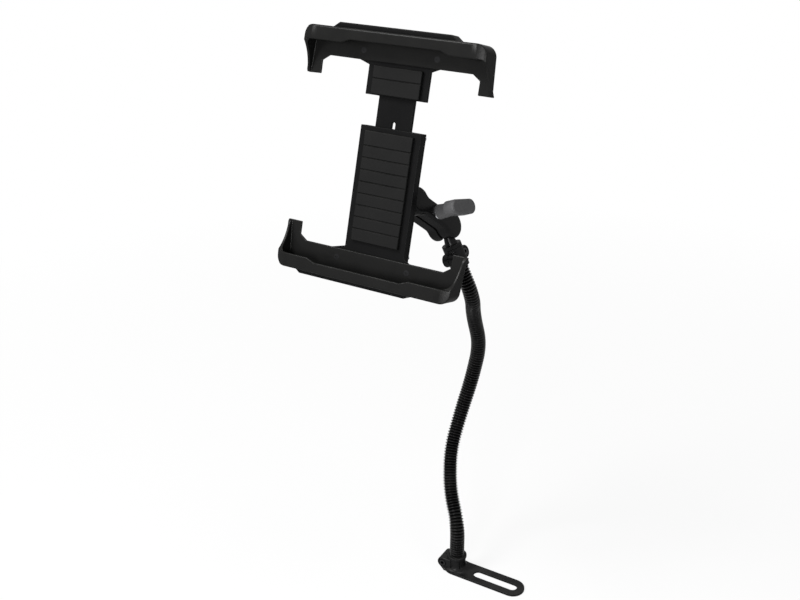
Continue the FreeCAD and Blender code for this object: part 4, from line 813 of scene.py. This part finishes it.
def cut_grooves(mesh, axis_x, grooves):
    """Cuts upright grooves into a collar whose axis is upright at axis_x."""
    work = bmesh.new()
    axis = Matrix.Translation((axis_x, 0, 0))
    for turn, radius, width, depth, low, high in grooves:
        size = Matrix.Diagonal((2 * depth, width, high - low, 1))
        out = Matrix.Translation((radius, 0, (low + high) / 2))
        bmesh.ops.create_cube(work, size=1.0, matrix=axis @ Matrix.Rotation(math.radians(turn), 4, "Z") @ out @ size)
    cutter_mesh = bpy.data.meshes.new("groove_cutter")
    work.to_mesh(cutter_mesh)
    work.free()
    cutter = bpy.data.objects.new("groove_cutter", cutter_mesh)
    bpy.context.scene.collection.objects.link(cutter)
    made = with_modifier(mesh, "BOOLEAN", operation="DIFFERENCE", solver="EXACT", object=cutter)
    bpy.data.objects.remove(cutter)
    return made


print("grooves in the base collar:", len(GROOVES["base_plate"]))

# %% [markdown]
# ## Soft edges on castings and mouldings
#
# A Bevel modifier finds the real edges by their angle and rounds them by a few tenths of a millimetre, as paint
# or a mould does. Where two real edges run on in line it throws a few points far out, and where its strips meet
# it leaves faces without area, so both are put right on the plain mesh. A Weighted Normal modifier then keeps the
# flat faces flat.

# %% Rounding of a piece
REAL_EDGE = math.radians(50)
BEVEL_STEPS = 3


def keep_near(mesh, surface, width):
    """Brings back the few points that a bevel throws off the sharp surface where two of its edges are in line."""
    corners = [point.co for point in surface.vertices]
    wall = BVHTree.FromPolygons(corners, [face.vertices for face in surface.polygons])
    for point in mesh.vertices:
        place, _, _, distance = wall.find_nearest(point.co)
        if distance > width:
            point.co = place


def clear_slivers(mesh):
    """Takes out the faces without area that a bevel leaves where its strips meet."""
    work = bmesh.new()
    work.from_mesh(mesh)
    bmesh.ops.dissolve_degenerate(work, dist=SAME_POINT, edges=work.edges)
    work.to_mesh(mesh)
    work.free()


def soft_edged(node, name, width, material):
    """A copy of a CAD node with its sharp edges rounded by that width, in metres."""
    sharp = merged_copy(node)
    if node in GROOVES:
        sharp = cut_grooves(sharp, FOOT.x, GROOVES[node])
    mesh = with_modifier(sharp, "BEVEL", width=width, segments=BEVEL_STEPS, limit_method="ANGLE",
                         angle_limit=REAL_EDGE, use_clamp_overlap=False, loop_slide=False)
    mesh.name = name
    keep_near(mesh, sharp, width)
    clear_slivers(mesh)
    mesh.set_sharp_from_angle(angle=REAL_EDGE)
    piece = stand_for(mesh, name, node, material)
    weighted = piece.modifiers.new("flat_faces", "WEIGHTED_NORMAL")
    weighted.keep_sharp = True
    return piece


# %% Soft-edged pieces
# Node, name of the piece, edge radius, finish
SOFT_EDGED = [
    ("base_plate", "seat_plate", 0.0005, plate_paint),
    ("rod_head", "head_clamp", 0.0005, casting_paint),
    ("rod_head_cap", "head_clamp_cap", 0.0005, casting_paint),
    ("arm_half_fixed", "arm_half_far", 0.0004, casting_paint),
    ("arm_half_moving", "arm_half_near", 0.0004, casting_paint),
    ("clamp_knob", "knob_body", 0.0008, knob_plastic),
    ("ball_base", "diamond_base", 0.0004, casting_paint),
    ("cradle_housing", "housing_moulding", 0.0006, cradle_plastic),
    ("cradle_cover", "cover_moulding", 0.0005, cradle_plastic),
    ("cradle_slider", "slider_moulding", 0.0006, cradle_plastic),
    ("bottom_cup", "lower_cup_moulding", 0.0009, cup_plastic),
    ("top_cup", "upper_cup_moulding", 0.0009, cup_plastic),
    ("lower_pad", "lower_pad_moulding", 0.0005, pad_rubber),
    ("upper_pad", "upper_pad_moulding", 0.0005, pad_rubber),
]
for node, name, width, material in SOFT_EDGED:
    piece = soft_edged(node, name, width, material)
    print(name, "faces:", len(piece.data.polygons))
